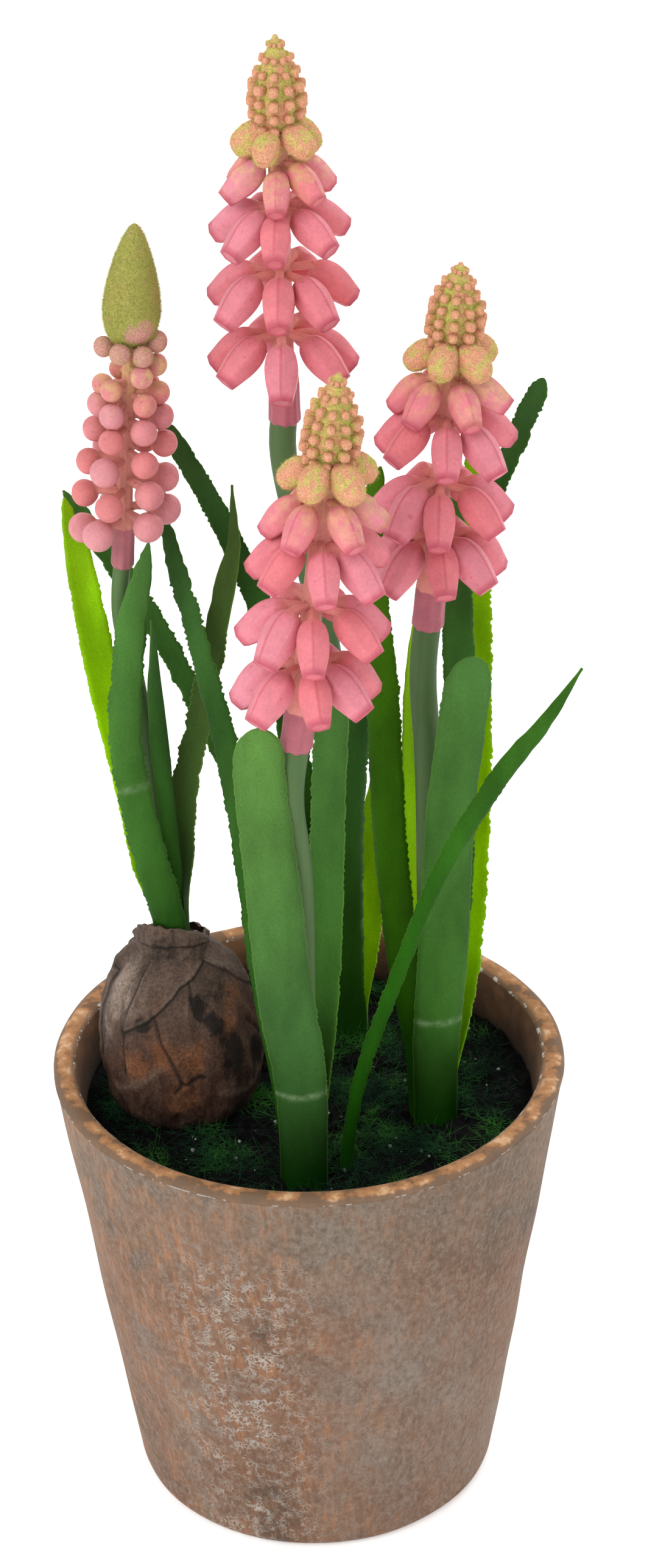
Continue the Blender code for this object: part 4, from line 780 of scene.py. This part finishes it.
# Painted shade: the colour darkens towards the foot, where the leaves stand deep in the pot.
leaf_shaded_low = leaf_surface.mix(leaf_surface.ramp(leaf_split[1], (0.10, 0.0), (0.42, 1.0)), leaf_surface.taken["Foot"],
                            leaf_surface.taken["Middle"])
leaf_colour = leaf_surface.mix(leaf_surface.ramp(leaf_split[1], (0.45, 0.0), (0.95, 1.0)), leaf_shaded_low,
                               leaf_surface.taken["Tip"])
leaf_cloud = leaf_surface.ramp(leaf_surface.noise(110.0, 3.0, 0.5, (1.0, 1.0, 0.35)), (0.3, 0.70), (0.7, 1.22))
leaf_bent = leaf_surface.math("MULTIPLY", leaf_surface.mark("crease"),
                              leaf_surface.ramp(leaf_surface.noise(500.0, 2.0), (0.35, 0.1), (0.6, 0.6)))
leaf_colour = leaf_surface.mix(leaf_bent, leaf_colour, (0.19, 0.29, 0.14))
leaf_colour = leaf_surface.mix(1.0, leaf_colour, leaf_cloud, "MULTIPLY")
leaf_grain = leaf_surface.noise(2600.0, 2.0, 0.6)
leaf_colour = leaf_surface.mix(1.0, leaf_colour, leaf_surface.ramp(leaf_grain, (0.3, 0.86), (0.7, 1.12)), "MULTIPLY")
# Painted light: the edges lighten to yellow-green as though light came through the thin cut edges.
leaf_lit_edge = leaf_surface.ramp(leaf_surface.math("ABSOLUTE", leaf_split[2]), (0.93, 0.0), (1.0, 0.25))
leaf_colour = leaf_surface.mix(leaf_lit_edge, leaf_colour, (0.20, 0.38, 0.05))
leaf_ribs = leaf_surface.add("TexWave", {"bands_direction": "X"}, Vector=leaf_surface.mark("blade", "Vector"),
                             Scale=0.95, Distortion=0.8, Detail=2.0).outputs[1]
leaf_surface.give(Colour=leaf_colour, Normal=leaf_surface.bump(leaf_ribs, 0.00012, 0.16,
                                                               leaf_surface.bump(leaf_grain, 0.0001, 0.15)))


def leaf_finish(shade):
    """Green plastic in one of the lit or shaded shades, the backlit one with a painted glow that stands in for light
    coming through it.
    """
    leaf = Finish("leaf_" + shade, Roughness=0.55, Specular_IOR_Level=0.05)
    shaded_foot_colour, middle_colour, tip_colour = LEAF_PAINTED_LIGHT_SHADES[shade]
    surface = leaf.effect(leaf_surface, Foot=shaded_foot_colour, Middle=middle_colour, Tip=tip_colour)
    if shade in LEAF_PAINTED_GLOW:
        # Painted glow: the leaf gives off its own colour as light.
        leaf.set(Emission_Color=surface["Colour"], Emission_Strength=LEAF_PAINTED_GLOW[shade])
    return leaf.set(Base_Color=surface["Colour"], Normal=surface["Normal"])


leaf_finishes = {shade: leaf_finish(shade) for shade in LEAF_PAINTED_LIGHT_SHADES}
for number, leaf in enumerate(LEAVES):
    leaf_points, leaf_faces, leaf_marks = blade(leaf, 40 + number)
    dress(leaf.name + "_blade", leaf_points, leaf_faces, leaf_finishes[leaf.shade], "leaf_green",
          [leaf.name], leaf_marks)


# Flower stems: three thick ones of grey-green plastic pressed deep into the soil and one thin one in the
# bulb's neck. Each ends in a spigot inside its flower head's sleeve.

STEM_AROUND, STEM_ROWS = 28, 70
SLEEVE_RADIUS, SLEEVE_LENGTH = 0.0034, 0.010
TUBE_START, TUBE_RADIUS = 0.016, 0.0023

Whorl = namedtuple("Whorl", "height count phase reach scale droop")
Head = namedtuple("Head", "name foot radius stem_path low high whorls buds")

HEADS = (
    Head("top", BACK_FOOT, STEM_RADIUS, ((0.0105, 0.027, 0.150), (0.0065, 0.0255, 0.205)),
         (-0.0022, 0.020, 0.2653), (-0.0024, 0.020, 0.3527),
         (Whorl(0.0210, 7, -90, 0.0152, 1.0, 43), Whorl(0.0355, 7, -95, 0.0155, 1.0, 41),
          Whorl(0.0495, 7, -90, 0.0145, 0.94, 38), Whorl(0.0592, 6, -100, 0.0118, 0.82, 40)),
         Whorl(0.0672, 5, -115, 0.0092, 1.0, 36)),
    Head("front", FRONT_FOOT, STEM_RADIUS, ((-0.0013, -0.0325, 0.140), (-0.0012, -0.034, 0.180)),
         (-0.0013, -0.036, 0.2148), (0.0090, -0.036, 0.3008),
         (Whorl(0.0205, 7, -86, 0.0148, 1.0, 45), Whorl(0.0345, 7, -88, 0.0152, 1.0, 43),
          Whorl(0.0492, 7, -86, 0.0145, 0.95, 42), Whorl(0.0590, 6, -62, 0.0125, 0.85, 42)),
         Whorl(0.0672, 5, -124, 0.0100, 1.0, 40)),
    Head("right", RIGHT_FOOT, STEM_RADIUS, ((0.0283, -0.0080, 0.140), (0.0280, -0.0050, 0.190)),
         (0.0280, -0.0020, 0.2256), (0.0351, -0.0020, 0.3104),
         (Whorl(0.0220, 7, -90, 0.0142, 1.0, 48), Whorl(0.0350, 7, -92, 0.0145, 1.0, 44),
          Whorl(0.0500, 7, -92, 0.0145, 0.95, 42), Whorl(0.0592, 6, -72, 0.0125, 0.85, 40)),
         Whorl(0.0672, 5, -118, 0.0098, 1.0, 38)),
    Head("ball", BULB_FOOT, BULB_STEM_RADIUS, ((-0.0318, 0.0030, 0.165), (-0.0360, 0.0065, 0.205)),
         (-0.0386, 0.010, 0.2361), (-0.0326, 0.010, 0.3157),
         (Whorl(0.0122, 6, -62, 0.0120, 1.0, 16), Whorl(0.0197, 6, -62, 0.0116, 0.98, 14),
          Whorl(0.0275, 6, -62, 0.0108, 0.95, 12), Whorl(0.0343, 6, -62, 0.0098, 0.89, 12),
          Whorl(0.0405, 6, -62, 0.0088, 0.82, 10), Whorl(0.0460, 6, -62, 0.0080, 0.75, 10)),
         Whorl(0.0528, 6, -62, 0.0078, 0.72, 14)),
)


def tube(middles, radii, around, flutes=0.0, count=8):
    """Rings square to a steep line of middles, each with its radius; flutes press that many grooves."""
    heading = unit(np.gradient(middles, axis=0))
    across = unit(np.cross((0.0, 1.0, 0.0), heading))[:, None]
    up = np.cross(heading[:, None], across)
    angles = np.arange(around) * math.tau / around
    radii = np.asarray(radii)[:, None] * (1 + flutes * np.cos(count * angles))
    return middles[:, None] + radii[..., None] * (across * np.cos(angles)[:, None] + up * np.sin(angles)[:, None])


def stem_finish():
    """Grey-green plastic with faint lengthwise streaks."""
    green = Finish("stem_green", Roughness=0.5, Specular_IOR_Level=0.12)
    streaks = green.noise(240.0, 3.0, 0.5, (1.0, 1.0, 0.05))
    return green.set(Base_Color=green.ramp(streaks, (0.3, (0.060, 0.115, 0.040)), (0.7, (0.105, 0.175, 0.066))),
                     Normal=green.bump(streaks, 0.0002, 0.3))


stem_green = stem_finish()
for head in HEADS:
    head_low, head_high = np.array(head.low), np.array(head.high)
    head_axis = unit(head_high - head_low)
    stem_floor = BULB_NECK_TOP - BULB_SOCKET if head.name == "ball" else SOIL_TOP - 0.0337
    stem_path = [(*head.foot, stem_floor), (*head.foot, stem_floor + 0.02), *head.stem_path,
                 head_low - head_axis * 0.0123, head_low + head_axis * 0.004]
    stem_middles, _ = smooth_through(stem_path, STEM_ROWS)
    dress("stem_" + head.name + "_round", *closed_skin(tube(stem_middles, np.full(STEM_ROWS, head.radius),
                                                            STEM_AROUND)),
          stem_green, "stem_green", ["stem_" + head.name])


# Florets: each head's pink part, moulded in one soft plastic: a fluted tube on a torn sleeve, and whorls
# of florets on short level stalks. The florets hang, five-sided and cut off flat; the ball head's are round.

STALK_SHARE, FLORET_SPREAD, FLORET_RISE = 0.13, 6, 0.0008
STALK_RINGS, BODY_RINGS = 6, 20
BALL_THIN, BALL_LEAN = 0.72, 0.0018
DUST_FROM, DUST_FROM_BALL = 0.052, 0.038

Floret = namedtuple("Floret", "length width sides soft varies profile")

HANGING = Floret(0.0128, 0.0068, 6, 0.10, 0.05, ((0.0, 0.17), (0.06, 0.33), (0.16, 0.47), (0.36, 0.565), (0.58, 0.55),
                                           (0.80, 0.46), (0.98, 0.375), (1.0, 0.35), (0.985, 0.29), (0.97, 0.15)))
BUD = Floret(0.0086, 0.0064, 6, 0.40, 0.13, ((0.0, 0.20), (0.12, 0.40), (0.30, 0.50), (0.58, 0.51), (0.85, 0.42),
                                      (0.97, 0.30), (1.0, 0.24), (0.99, 0.16), (0.97, 0.10)))
BALL = Floret(0.0062, 0.0062, 6, 1.0, 0.06, ((0.0, 0.17), (0.10, 0.33), (0.28, 0.47), (0.52, 0.53), (0.75, 0.47),
                                       (0.90, 0.34), (0.97, 0.20), (1.0, 0.12), (0.99, 0.06)))


def many_sided(sides, soft):
    """Angles and radii round a polygon mixed with a circle by the softness: two points close together at
    each corner keep it crisp, and two more carry the flat between them."""
    corners = np.arange(sides) * math.tau / sides
    steps = np.array((-0.05, 0.05, 0.35, 0.65)) * math.tau / sides
    angles = (corners[:, None] + steps).ravel()
    to_middle = (angles + math.tau) % (math.tau / sides) - math.pi / sides
    return angles, soft + (1 - soft) * math.cos(math.pi / sides) / np.cos(to_middle) / math.cos(math.pi / sides / 2)


def florets(head, whorl, floret, draws, thin=1.0, lean=0.0):
    """One whorl's florets, all at once: each is rings along a path that runs level out of the tube to the
    knee and then down the body, with the body's profile swept through a rounded polygon."""
    low, high = np.array(head.low), np.array(head.high)
    spread = FLORET_SPREAD * (1 + floret.soft)
    turn = np.radians(whorl.phase + np.arange(whorl.count) * 360 / whorl.count + spread * draws[:, 0])
    out = np.stack([np.cos(turn), np.sin(turn), np.zeros_like(turn)], axis=1)
    droop = np.radians(whorl.droop + FLORET_SPREAD * draws[:, 1])[:, None]
    down = out * np.cos(droop) - np.array((0.0, 0.0, 1.0)) * np.sin(droop)
    size = whorl.scale * (1 + floret.varies * draws[:, 3:])
    length, width = floret.length * size, floret.width * size
    rise = FLORET_RISE * draws[:, 2:3] + lean * out[:, :1]
    root = low + unit(high - low) * (whorl.height + rise)
    knee = root + out * (whorl.reach - length * np.cos(droop))
    root = root + out * 0.001 * thin
    profile, _ = smooth_through(floret.profile, BODY_RINGS)
    stalk = np.linspace(0.0, 0.9, STALK_RINGS)[:, None, None]
    middles = np.concatenate([root + (knee - root) * stalk, knee + down * profile[:, :1, None] * length])
    blend = np.concatenate([np.zeros(STALK_RINGS - 1), [0.35], np.ones(len(profile))])[:, None, None]
    blend[STALK_RINGS] = 0.8
    heading = unit(out + (down - out) * blend)
    side = np.stack([-out[:, 1], out[:, 0], np.zeros(len(out))], axis=1)
    up = np.cross(heading, side)
    radii = np.concatenate([np.linspace(STALK_SHARE, 0.16, STALK_RINGS), profile[:, 1]])[:, None] * width[:, 0]
    angles, shape = many_sided(floret.sides, floret.soft)
    angles = angles + math.pi / 2
    reach = (radii[..., None] * shape)[..., None]
    rings = middles[:, :, None] + reach * (side[None, :, None] * np.cos(angles)[:, None]
                                           + up[:, :, None] * np.sin(angles)[:, None])
    mouth = 0.5 if floret.soft < 1 else 0.3
    share = np.concatenate([np.zeros(STALK_RINGS), np.linspace(0.0, mouth, len(profile))])
    seam = (np.arange(len(angles)) % (2 * floret.sides) < 2) * (1.0 - floret.soft)
    return rings.swapaxes(0, 1), share, seam, 0.5 + 0.5 * draws[:, 3]


def several_skins(groups):
    """One closed body's points and faces for each floret in the groups of rings, as one mesh, with each
    point's share along the floret, whether it is on the mould's seam, and the floret's own tint."""
    points, walls, fans, marks, start = [], [], [], [], 0
    for rings, share, seam, tints in groups:
        for each, tint in zip(rings, tints):
            body, (wall, fan) = closed_skin(each)
            points.append(body)
            walls.append(wall + start)
            fans.append(fan + start)
            mark = np.stack(np.broadcast_arrays(share[:, None], seam, tint), axis=-1).reshape(-1, 3)
            marks.append(np.concatenate([mark, mark[[0, -1]]]))
            start += len(body)
    return np.concatenate(points), [np.concatenate(walls), np.concatenate(fans)], np.concatenate(marks)


pink_surface = Effect("pink_surface", {"Body": "Color", "Mouth": "Color", "Tube": "Color", "Sleeve": "Color"},
                      {"Colour": "Color", "Normal": "Vector"})
pink_mark = pink_surface.add("SeparateXYZ", Vector=pink_surface.mark("floret", "Vector")).outputs
pink_share = pink_mark[0]
pink_body = pink_surface.mix(1.0, pink_surface.taken["Body"], pink_surface.ramp(
    pink_mark[2], (0.0, (1.0, 0.84, 0.80)), (1.0, (1.0, 1.12, 1.18))), "MULTIPLY")
pink_colour = pink_surface.mix(pink_surface.ramp(pink_share, (0.37, 0.0), (0.41, 1.0), (0.45, 1.0), (0.48, 0.3)),
                               pink_body, pink_surface.taken["Mouth"])
pink_seam = pink_surface.math("MULTIPLY", pink_surface.ramp(pink_mark[1], (0.72, 0.0), (0.88, 0.55)),
                              pink_surface.ramp(pink_share, (0.02, 0.0), (0.08, 1.0), (0.38, 1.0), (0.42, 0.0)))
pink_colour = pink_surface.mix(pink_seam, pink_colour, pink_surface.taken["Mouth"])
pink_colour = pink_surface.mix(pink_surface.ramp(pink_share, (0.01, 0.8), (0.10, 0.0), (0.52, 0.0), (0.58, 1.0)),
                               pink_colour, pink_surface.taken["Tube"])
pink_colour = pink_surface.mix(pink_surface.ramp(pink_share, (0.72, 0.0), (0.90, 1.0)), pink_colour,
                               pink_surface.taken["Sleeve"])
pink_grain = pink_surface.noise(1500.0, 2.0, 0.6)
pink_dust = pink_surface.math("MULTIPLY", pink_surface.mark("dusting"),
                              pink_surface.ramp(pink_surface.noise(330.0, 4.0, 0.7), (0.42, 0.0), (0.60, 0.85)))
pink_colour = pink_surface.mix(pink_dust, pink_colour, (0.66, 0.52, 0.18))
pink_cloud = pink_surface.ramp(pink_surface.noise(260.0, 2.0, 0.6), (0.35, 0.93), (0.65, 1.05))
pink_colour = pink_surface.mix(1.0, pink_colour, pink_cloud, "MULTIPLY")
pink_specks = pink_surface.ramp(pink_surface.noise(620.0, 2.0, 0.5), (0.68, 0.0), (0.74, 0.5))
pink_colour = pink_surface.mix(pink_specks, pink_colour, pink_surface.taken["Mouth"])
pink_surface.give(Colour=pink_surface.mix(1.0, pink_colour, pink_surface.ramp(pink_grain, (0.3, 0.93), (0.7, 1.06)),
                                          "MULTIPLY"),
                  Normal=pink_surface.bump(pink_grain, 0.00015, 0.35))


def pink_finish(name, **colours):
    """Soft pink plastic that lets a little light through: deeper at the cut-off mouths, paler and more
    orange on the stalks and the tube, and mauve on the sleeve."""
    pink = Finish(name, Roughness=0.5, Specular_IOR_Level=0.15, Subsurface_Weight=0.2, Subsurface_Scale=0.002)
    surface = pink.effect(pink_surface, **colours)
    return pink.set(Base_Color=surface["Colour"], Normal=surface["Normal"])


floret_pink = pink_finish("floret_pink", Body=(0.70, 0.225, 0.262), Mouth=(0.52, 0.110, 0.150),
                          Tube=(0.72, 0.30, 0.25), Sleeve=(0.42, 0.13, 0.16))
ball_pink = pink_finish("ball_pink", Body=(0.62, 0.235, 0.240), Mouth=(0.36, 0.10, 0.11),
                        Tube=(0.60, 0.25, 0.20), Sleeve=(0.40, 0.14, 0.16))
for head in HEADS:
    is_ball = head.name == "ball"
    thin = BALL_THIN if is_ball else 1.0
    floret_random = np.random.default_rng(len("head_" + head.name))
    groups = []
    for whorl in head.whorls:
        draws = floret_random.uniform(-1.0, 1.0, (whorl.count, 4))
        groups.append(florets(head, whorl, BALL if is_ball else HANGING, draws, thin, BALL_LEAN if is_ball else 0.0))
    head_low, head_high = np.array(head.low), np.array(head.high)
    head_axis = unit(head_high - head_low)
    tube_top = 0.0502 if is_ball else 0.0635
    tube_rise = np.array([0.0, 0.0008, 0.004, SLEEVE_LENGTH, 0.013, TUBE_START, 0.03, tube_top, tube_top + 0.006])
    tube_radii = np.array([0.88, 1.0, 0.97, 0.94, 0.8, TUBE_RADIUS / SLEEVE_RADIUS, 0.65, 0.58, 0.4]) * SLEEVE_RADIUS * thin
    tube_profile, _ = smooth_through(np.stack([tube_rise, tube_radii], axis=1), 90)
    tube_rings = tube(head_low + head_axis * tube_profile[:, :1], tube_profile[:, 1], 48, 0.05, 8)
    groups.append((tube_rings[None], np.where(tube_profile[:, 0] < SLEEVE_LENGTH, 0.95, 0.6), np.zeros(48), [0.5]))
    floret_points, floret_faces, floret_marks = several_skins(groups)
    dusting = np.clip(((floret_points - head_low) @ head_axis - (DUST_FROM_BALL if is_ball else DUST_FROM)) / 0.012, 0, 1)
    dress("head_" + head.name + "_moulded_florets", floret_points, floret_faces,
          ball_pink if is_ball else floret_pink, "floret_pink", ["head_" + head.name + "_florets"],
          {"floret": floret_marks, "dusting": dusting})


# Tips: each head ends in a cone of the same plastic, glued and flocked with yellow-green fibres. Three
# cones carry upright rows of square studs, the ball head's is smooth, and closed buds hang round each.

CONE_AROUND, STUD_ROWS, STUD_COLUMNS = 36, 7, 10
STUD_HALF, STUD_LIFT, STUD_ROOT = 0.0010, 0.0026, 0.0004
FLOCK_LENGTH, FLOCK_HALF = 0.0007, 0.000028
FLOCK_PER_HEAD = 15500
BARE_PATCH, BARE_REACH, BARE_BALLS, BARE_BUDS = (-0.0318, 0.0045, 0.2925), 0.0040, 0.93, 0.25
STUDDED_SHAPE = ((0.0, 0.0030), (0.13, 0.0040), (0.26, 0.0045), (0.39, 0.0044), (0.52, 0.0039), (0.65, 0.0032),
                 (0.77, 0.0024), (0.89, 0.0014), (0.99, 0.0004))
STUD_SIZES = ((0.0, 0.9), (0.15, 1.0), (0.5, 0.92), (0.75, 0.66), (0.95, 0.36))
SMOOTH_SHAPE = ((0.0, 0.0034), (0.08, 0.0052), (0.25, 0.0061), (0.45, 0.0056), (0.65, 0.0044),
                (0.83, 0.0029), (0.95, 0.0014), (0.99, 0.0006))


def flocked_finish(name, plastic, flock, worn):
    """Plastic showing through matted flock where the noise is under worn, and more where it is bare."""
    flocked = Finish(name, Roughness=0.95, Specular_IOR_Level=0.1)
    matted = flocked.math("MULTIPLY_ADD", flocked.mark("bare"), -0.35, flocked.noise(420.0, 4.0, 0.65))
    fuzz = flocked.noise(2600.0, 2.0, 0.6)
    colour = flocked.mix(flocked.ramp(matted, (worn - 0.07, 0.0), (worn + 0.07, 1.0)), plastic, flock)
    colour = flocked.mix(1.0, colour, flocked.ramp(fuzz, (0.3, 0.75), (0.65, 1.2)), "MULTIPLY")
    return flocked.set(Base_Color=colour, Normal=flocked.bump(fuzz, 0.0004, 0.9))


def fibre_finish(name, low, middle, high):
    """Short flock fibres in three drifting tints."""
    fibre = Finish(name, Roughness=0.8, Specular_IOR_Level=0.1)
    return fibre.set(Base_Color=fibre.ramp(fibre.noise(210.0, 4.0, 0.6), (0.38, low), (0.50, middle), (0.62, high)))


def spots_on(points, faces, bare, count, random):
    """Spots spread over a mesh by area, fewer where it is bare, and the outward direction at each: the
    corners of triangles picked by area, mixed at random."""
    triangles = np.concatenate([group[:, [0, k - 1, k]] for group in faces for k in range(2, group.shape[1])])
    a, b, c = points[triangles[:, 0]], points[triangles[:, 1]], points[triangles[:, 2]]
    facing = np.cross(b - a, c - a)
    area = np.linalg.norm(facing, axis=1)
    chance = area * (1 - bare[triangles].mean(axis=1))
    chosen = random.choice(len(area), count, p=chance / chance.sum())
    u, v = random.uniform(0.0, 1.0, (2, count, 1))
    u, v = np.where(u + v > 1, 1 - u, u), np.where(u + v > 1, 1 - v, v)
    spots = a[chosen] + (b[chosen] - a[chosen]) * u + (c[chosen] - a[chosen]) * v
    return spots, facing[chosen] / area[chosen, None]


stud_square = np.array([[1, 0.55], [0.55, 1], [-0.55, 1], [-1, 0.55], [-1, -0.55], [-0.55, -1], [0.55, -1], [1, -0.55]])
stud_shape, stud_faces = closed_skin(np.stack([np.column_stack([stud_square * wide, np.full(8, high)])
                                               for wide, high in ((1.0, 0.0), (1.0, 0.8), (0.84, 1.0))]))
flock_shape = np.array([[1.0, 0.0, 0.0], [-0.5, 0.87, 0.0], [-0.5, -0.87, 0.0], [0.0, 0.0, 1.0]])
flock_faces = [np.array([[0, 2, 1], [0, 1, 3], [1, 2, 3], [2, 0, 3]])]
studded_tip = flocked_finish("studded_tip", (0.72, 0.34, 0.21), (0.56, 0.50, 0.14), 0.46)
smooth_tip = flocked_finish("smooth_tip", (0.56, 0.29, 0.23), (0.36, 0.35, 0.09), 0.30)
studded_flock = fibre_finish("studded_flock", (0.78, 0.50, 0.26), (0.68, 0.58, 0.20), (0.58, 0.66, 0.13))
smooth_flock = fibre_finish("smooth_flock", (0.68, 0.50, 0.19), (0.48, 0.50, 0.12), (0.60, 0.62, 0.16))
for head in HEADS:
    is_ball = head.name == "ball"
    thin = BALL_THIN if is_ball else 1.0
    join, cone, shape = (0.0502, 0.0535, SMOOTH_SHAPE) if is_ball else (0.0635, 0.0665, STUDDED_SHAPE)
    head_low, head_high = np.array(head.low), np.array(head.high)
    head_axis, head_length = unit(head_high - head_low), np.linalg.norm(head_high - head_low)
    outline = [(join + 0.0003, 0.0021 * thin), (cone - 0.0008, 0.0023 * thin)]
    outline += [(cone + share * (head_length - cone), radius) for share, radius in shape]
    outline, _ = smooth_through(outline, 60)
    cone_rings = tube(head_low + head_axis * outline[:, :1], outline[:, 1], CONE_AROUND)
    tip_random = np.random.default_rng(7 + len("head_" + head.name))
    buds = florets(head, head.buds, BALL if is_ball else BUD,
                   tip_random.uniform(-1.0, 1.0, (head.buds.count, 4)), thin)
    tip_points, tip_faces, _ = several_skins([(cone_rings[None], np.zeros(60), np.zeros(CONE_AROUND), [0.5]), buds])
    bare = np.full(len(tip_points), BARE_BUDS)
    bare[:CONE_AROUND * 60 + 2] = 0.0
    if is_ball:
        bare = 0.97 * np.exp(-(np.linalg.norm(tip_points - BARE_PATCH, axis=1) / BARE_REACH) ** 4)
        bare[CONE_AROUND * 60 + 2:] = BARE_BALLS
    else:
        rows, columns = np.meshgrid(np.linspace(0.05, 0.90, STUD_ROWS), np.arange(STUD_COLUMNS), indexing="ij")
        share, turn = rows.ravel(), columns.ravel() * math.tau / STUD_COLUMNS + 0.2
        base = np.interp(share, *np.array(shape).T)
        across = unit(np.cross((0.0, 1.0, 0.0), head_axis))
        up = np.cross(head_axis, across)
        away = across * np.cos(turn)[:, None] + up * np.sin(turn)[:, None]
        axes = np.stack([np.cross(np.broadcast_to(head_axis, away.shape), away),
                         np.broadcast_to(head_axis, away.shape), away], axis=1)
        size = np.interp(share, *np.array(STUD_SIZES).T)[:, None] * tip_random.uniform(0.85, 1.1, (len(turn), 1))
        axes = axes * np.stack([size * STUD_HALF, size * STUD_HALF, size * STUD_LIFT], axis=1)
        places = head_low + head_axis * (cone + share * (head_length - cone))[:, None] + away * (base - STUD_ROOT)[:, None]
        stud_points, stud_copies = copies(stud_shape, stud_faces, axes, places)
        start = len(tip_points)
        tip_points = np.concatenate([tip_points, stud_points])
        bare = np.concatenate([bare, np.tile(0.6 * stud_shape[:, 2], len(places))])
        tip_faces = [np.concatenate([mine, theirs + start]) for mine, theirs in zip(tip_faces, stud_copies)]
    dress("head_" + head.name + "_flocked_tip", tip_points, tip_faces, smooth_tip if is_ball else studded_tip,
          "flocked_tip", ["head_" + head.name + "_tip"], {"bare": bare})
    spots, facing = spots_on(tip_points, tip_faces, bare, FLOCK_PER_HEAD, tip_random)
    ways = facing + tip_random.normal(0.0, 0.45, facing.shape)
    fibre_axes = frames_along(ways, tip_random)
    fibre_axes[:, :2] *= FLOCK_HALF
    fibre_axes[:, 2] *= FLOCK_LENGTH * tip_random.uniform(0.5, 1.3, (FLOCK_PER_HEAD, 1))
    dress("head_" + head.name + "_flock", *copies(flock_shape, flock_faces, fibre_axes, spots),
          smooth_flock if is_ball else studded_flock, "flocked_tip")


# Stage: a plain white table lit softly from all round, and the camera where the photograph was taken.

table = bpy.data.meshes.new("table")
table.from_pydata([(-3, -3, 0), (3, -3, 0), (3, 3, 0), (-3, 3, 0)], [], [(0, 1, 2, 3)])
table_white = Finish("table_white", Roughness=0.35)
table.materials.append(table_white.set(Base_Color=(0.92, 0.92, 0.92), Emission_Color=(1.0, 1.0, 1.0),
                                       Emission_Strength=0.35))
table_top = bpy.data.objects.new("table", table)
bpy.context.scene.collection.objects.link(table_top)

studio = bpy.data.worlds.new("studio")
bpy.context.scene.world = studio
studio.use_nodes = True
studio.node_tree.nodes["Background"].inputs[0].default_value = (1.0, 1.0, 1.0, 1.0)
studio.node_tree.nodes["Background"].inputs[1].default_value = 0.9
bpy.context.scene.view_settings.view_transform = "Standard"


def softbox(name, place, target, size, power):
    """A square area light at the place, turned to the target."""
    light = bpy.data.lights.new(name, "AREA")
    light.size, light.energy = size, power
    obj = bpy.data.objects.new(name, light)
    bpy.context.scene.collection.objects.link(obj)
    obj.location = place
    obj.rotation_euler = (Vector(target) - Vector(place)).to_track_quat("-Z", "Y").to_euler()


softbox("key_light", (-0.7, -0.9, 1.1), (0.0, 0.0, 0.17), 0.9, 9.0)
softbox("back_light", (0.5, 0.9, 0.9), (0.0, 0.0, 0.17), 0.8, 7.0)

camera = bpy.data.cameras.new("camera")
camera.sensor_width, camera.lens = 36.0, 83.85
camera.clip_start = 0.05
camera_object = bpy.data.objects.new("camera", camera)
bpy.context.scene.collection.objects.link(camera_object)
camera_object.matrix_world = Matrix(((0.99974286, 0.02181007, -0.00620786, 0.0),
                                     (-0.01618956, 0.49480203, -0.86885491, -0.71230),
                                     (-0.01587813, 0.86873199, 0.49502789, 0.59132),
                                     (0.0, 0.0, 0.0, 1.0)))
bpy.context.scene.camera = camera_object
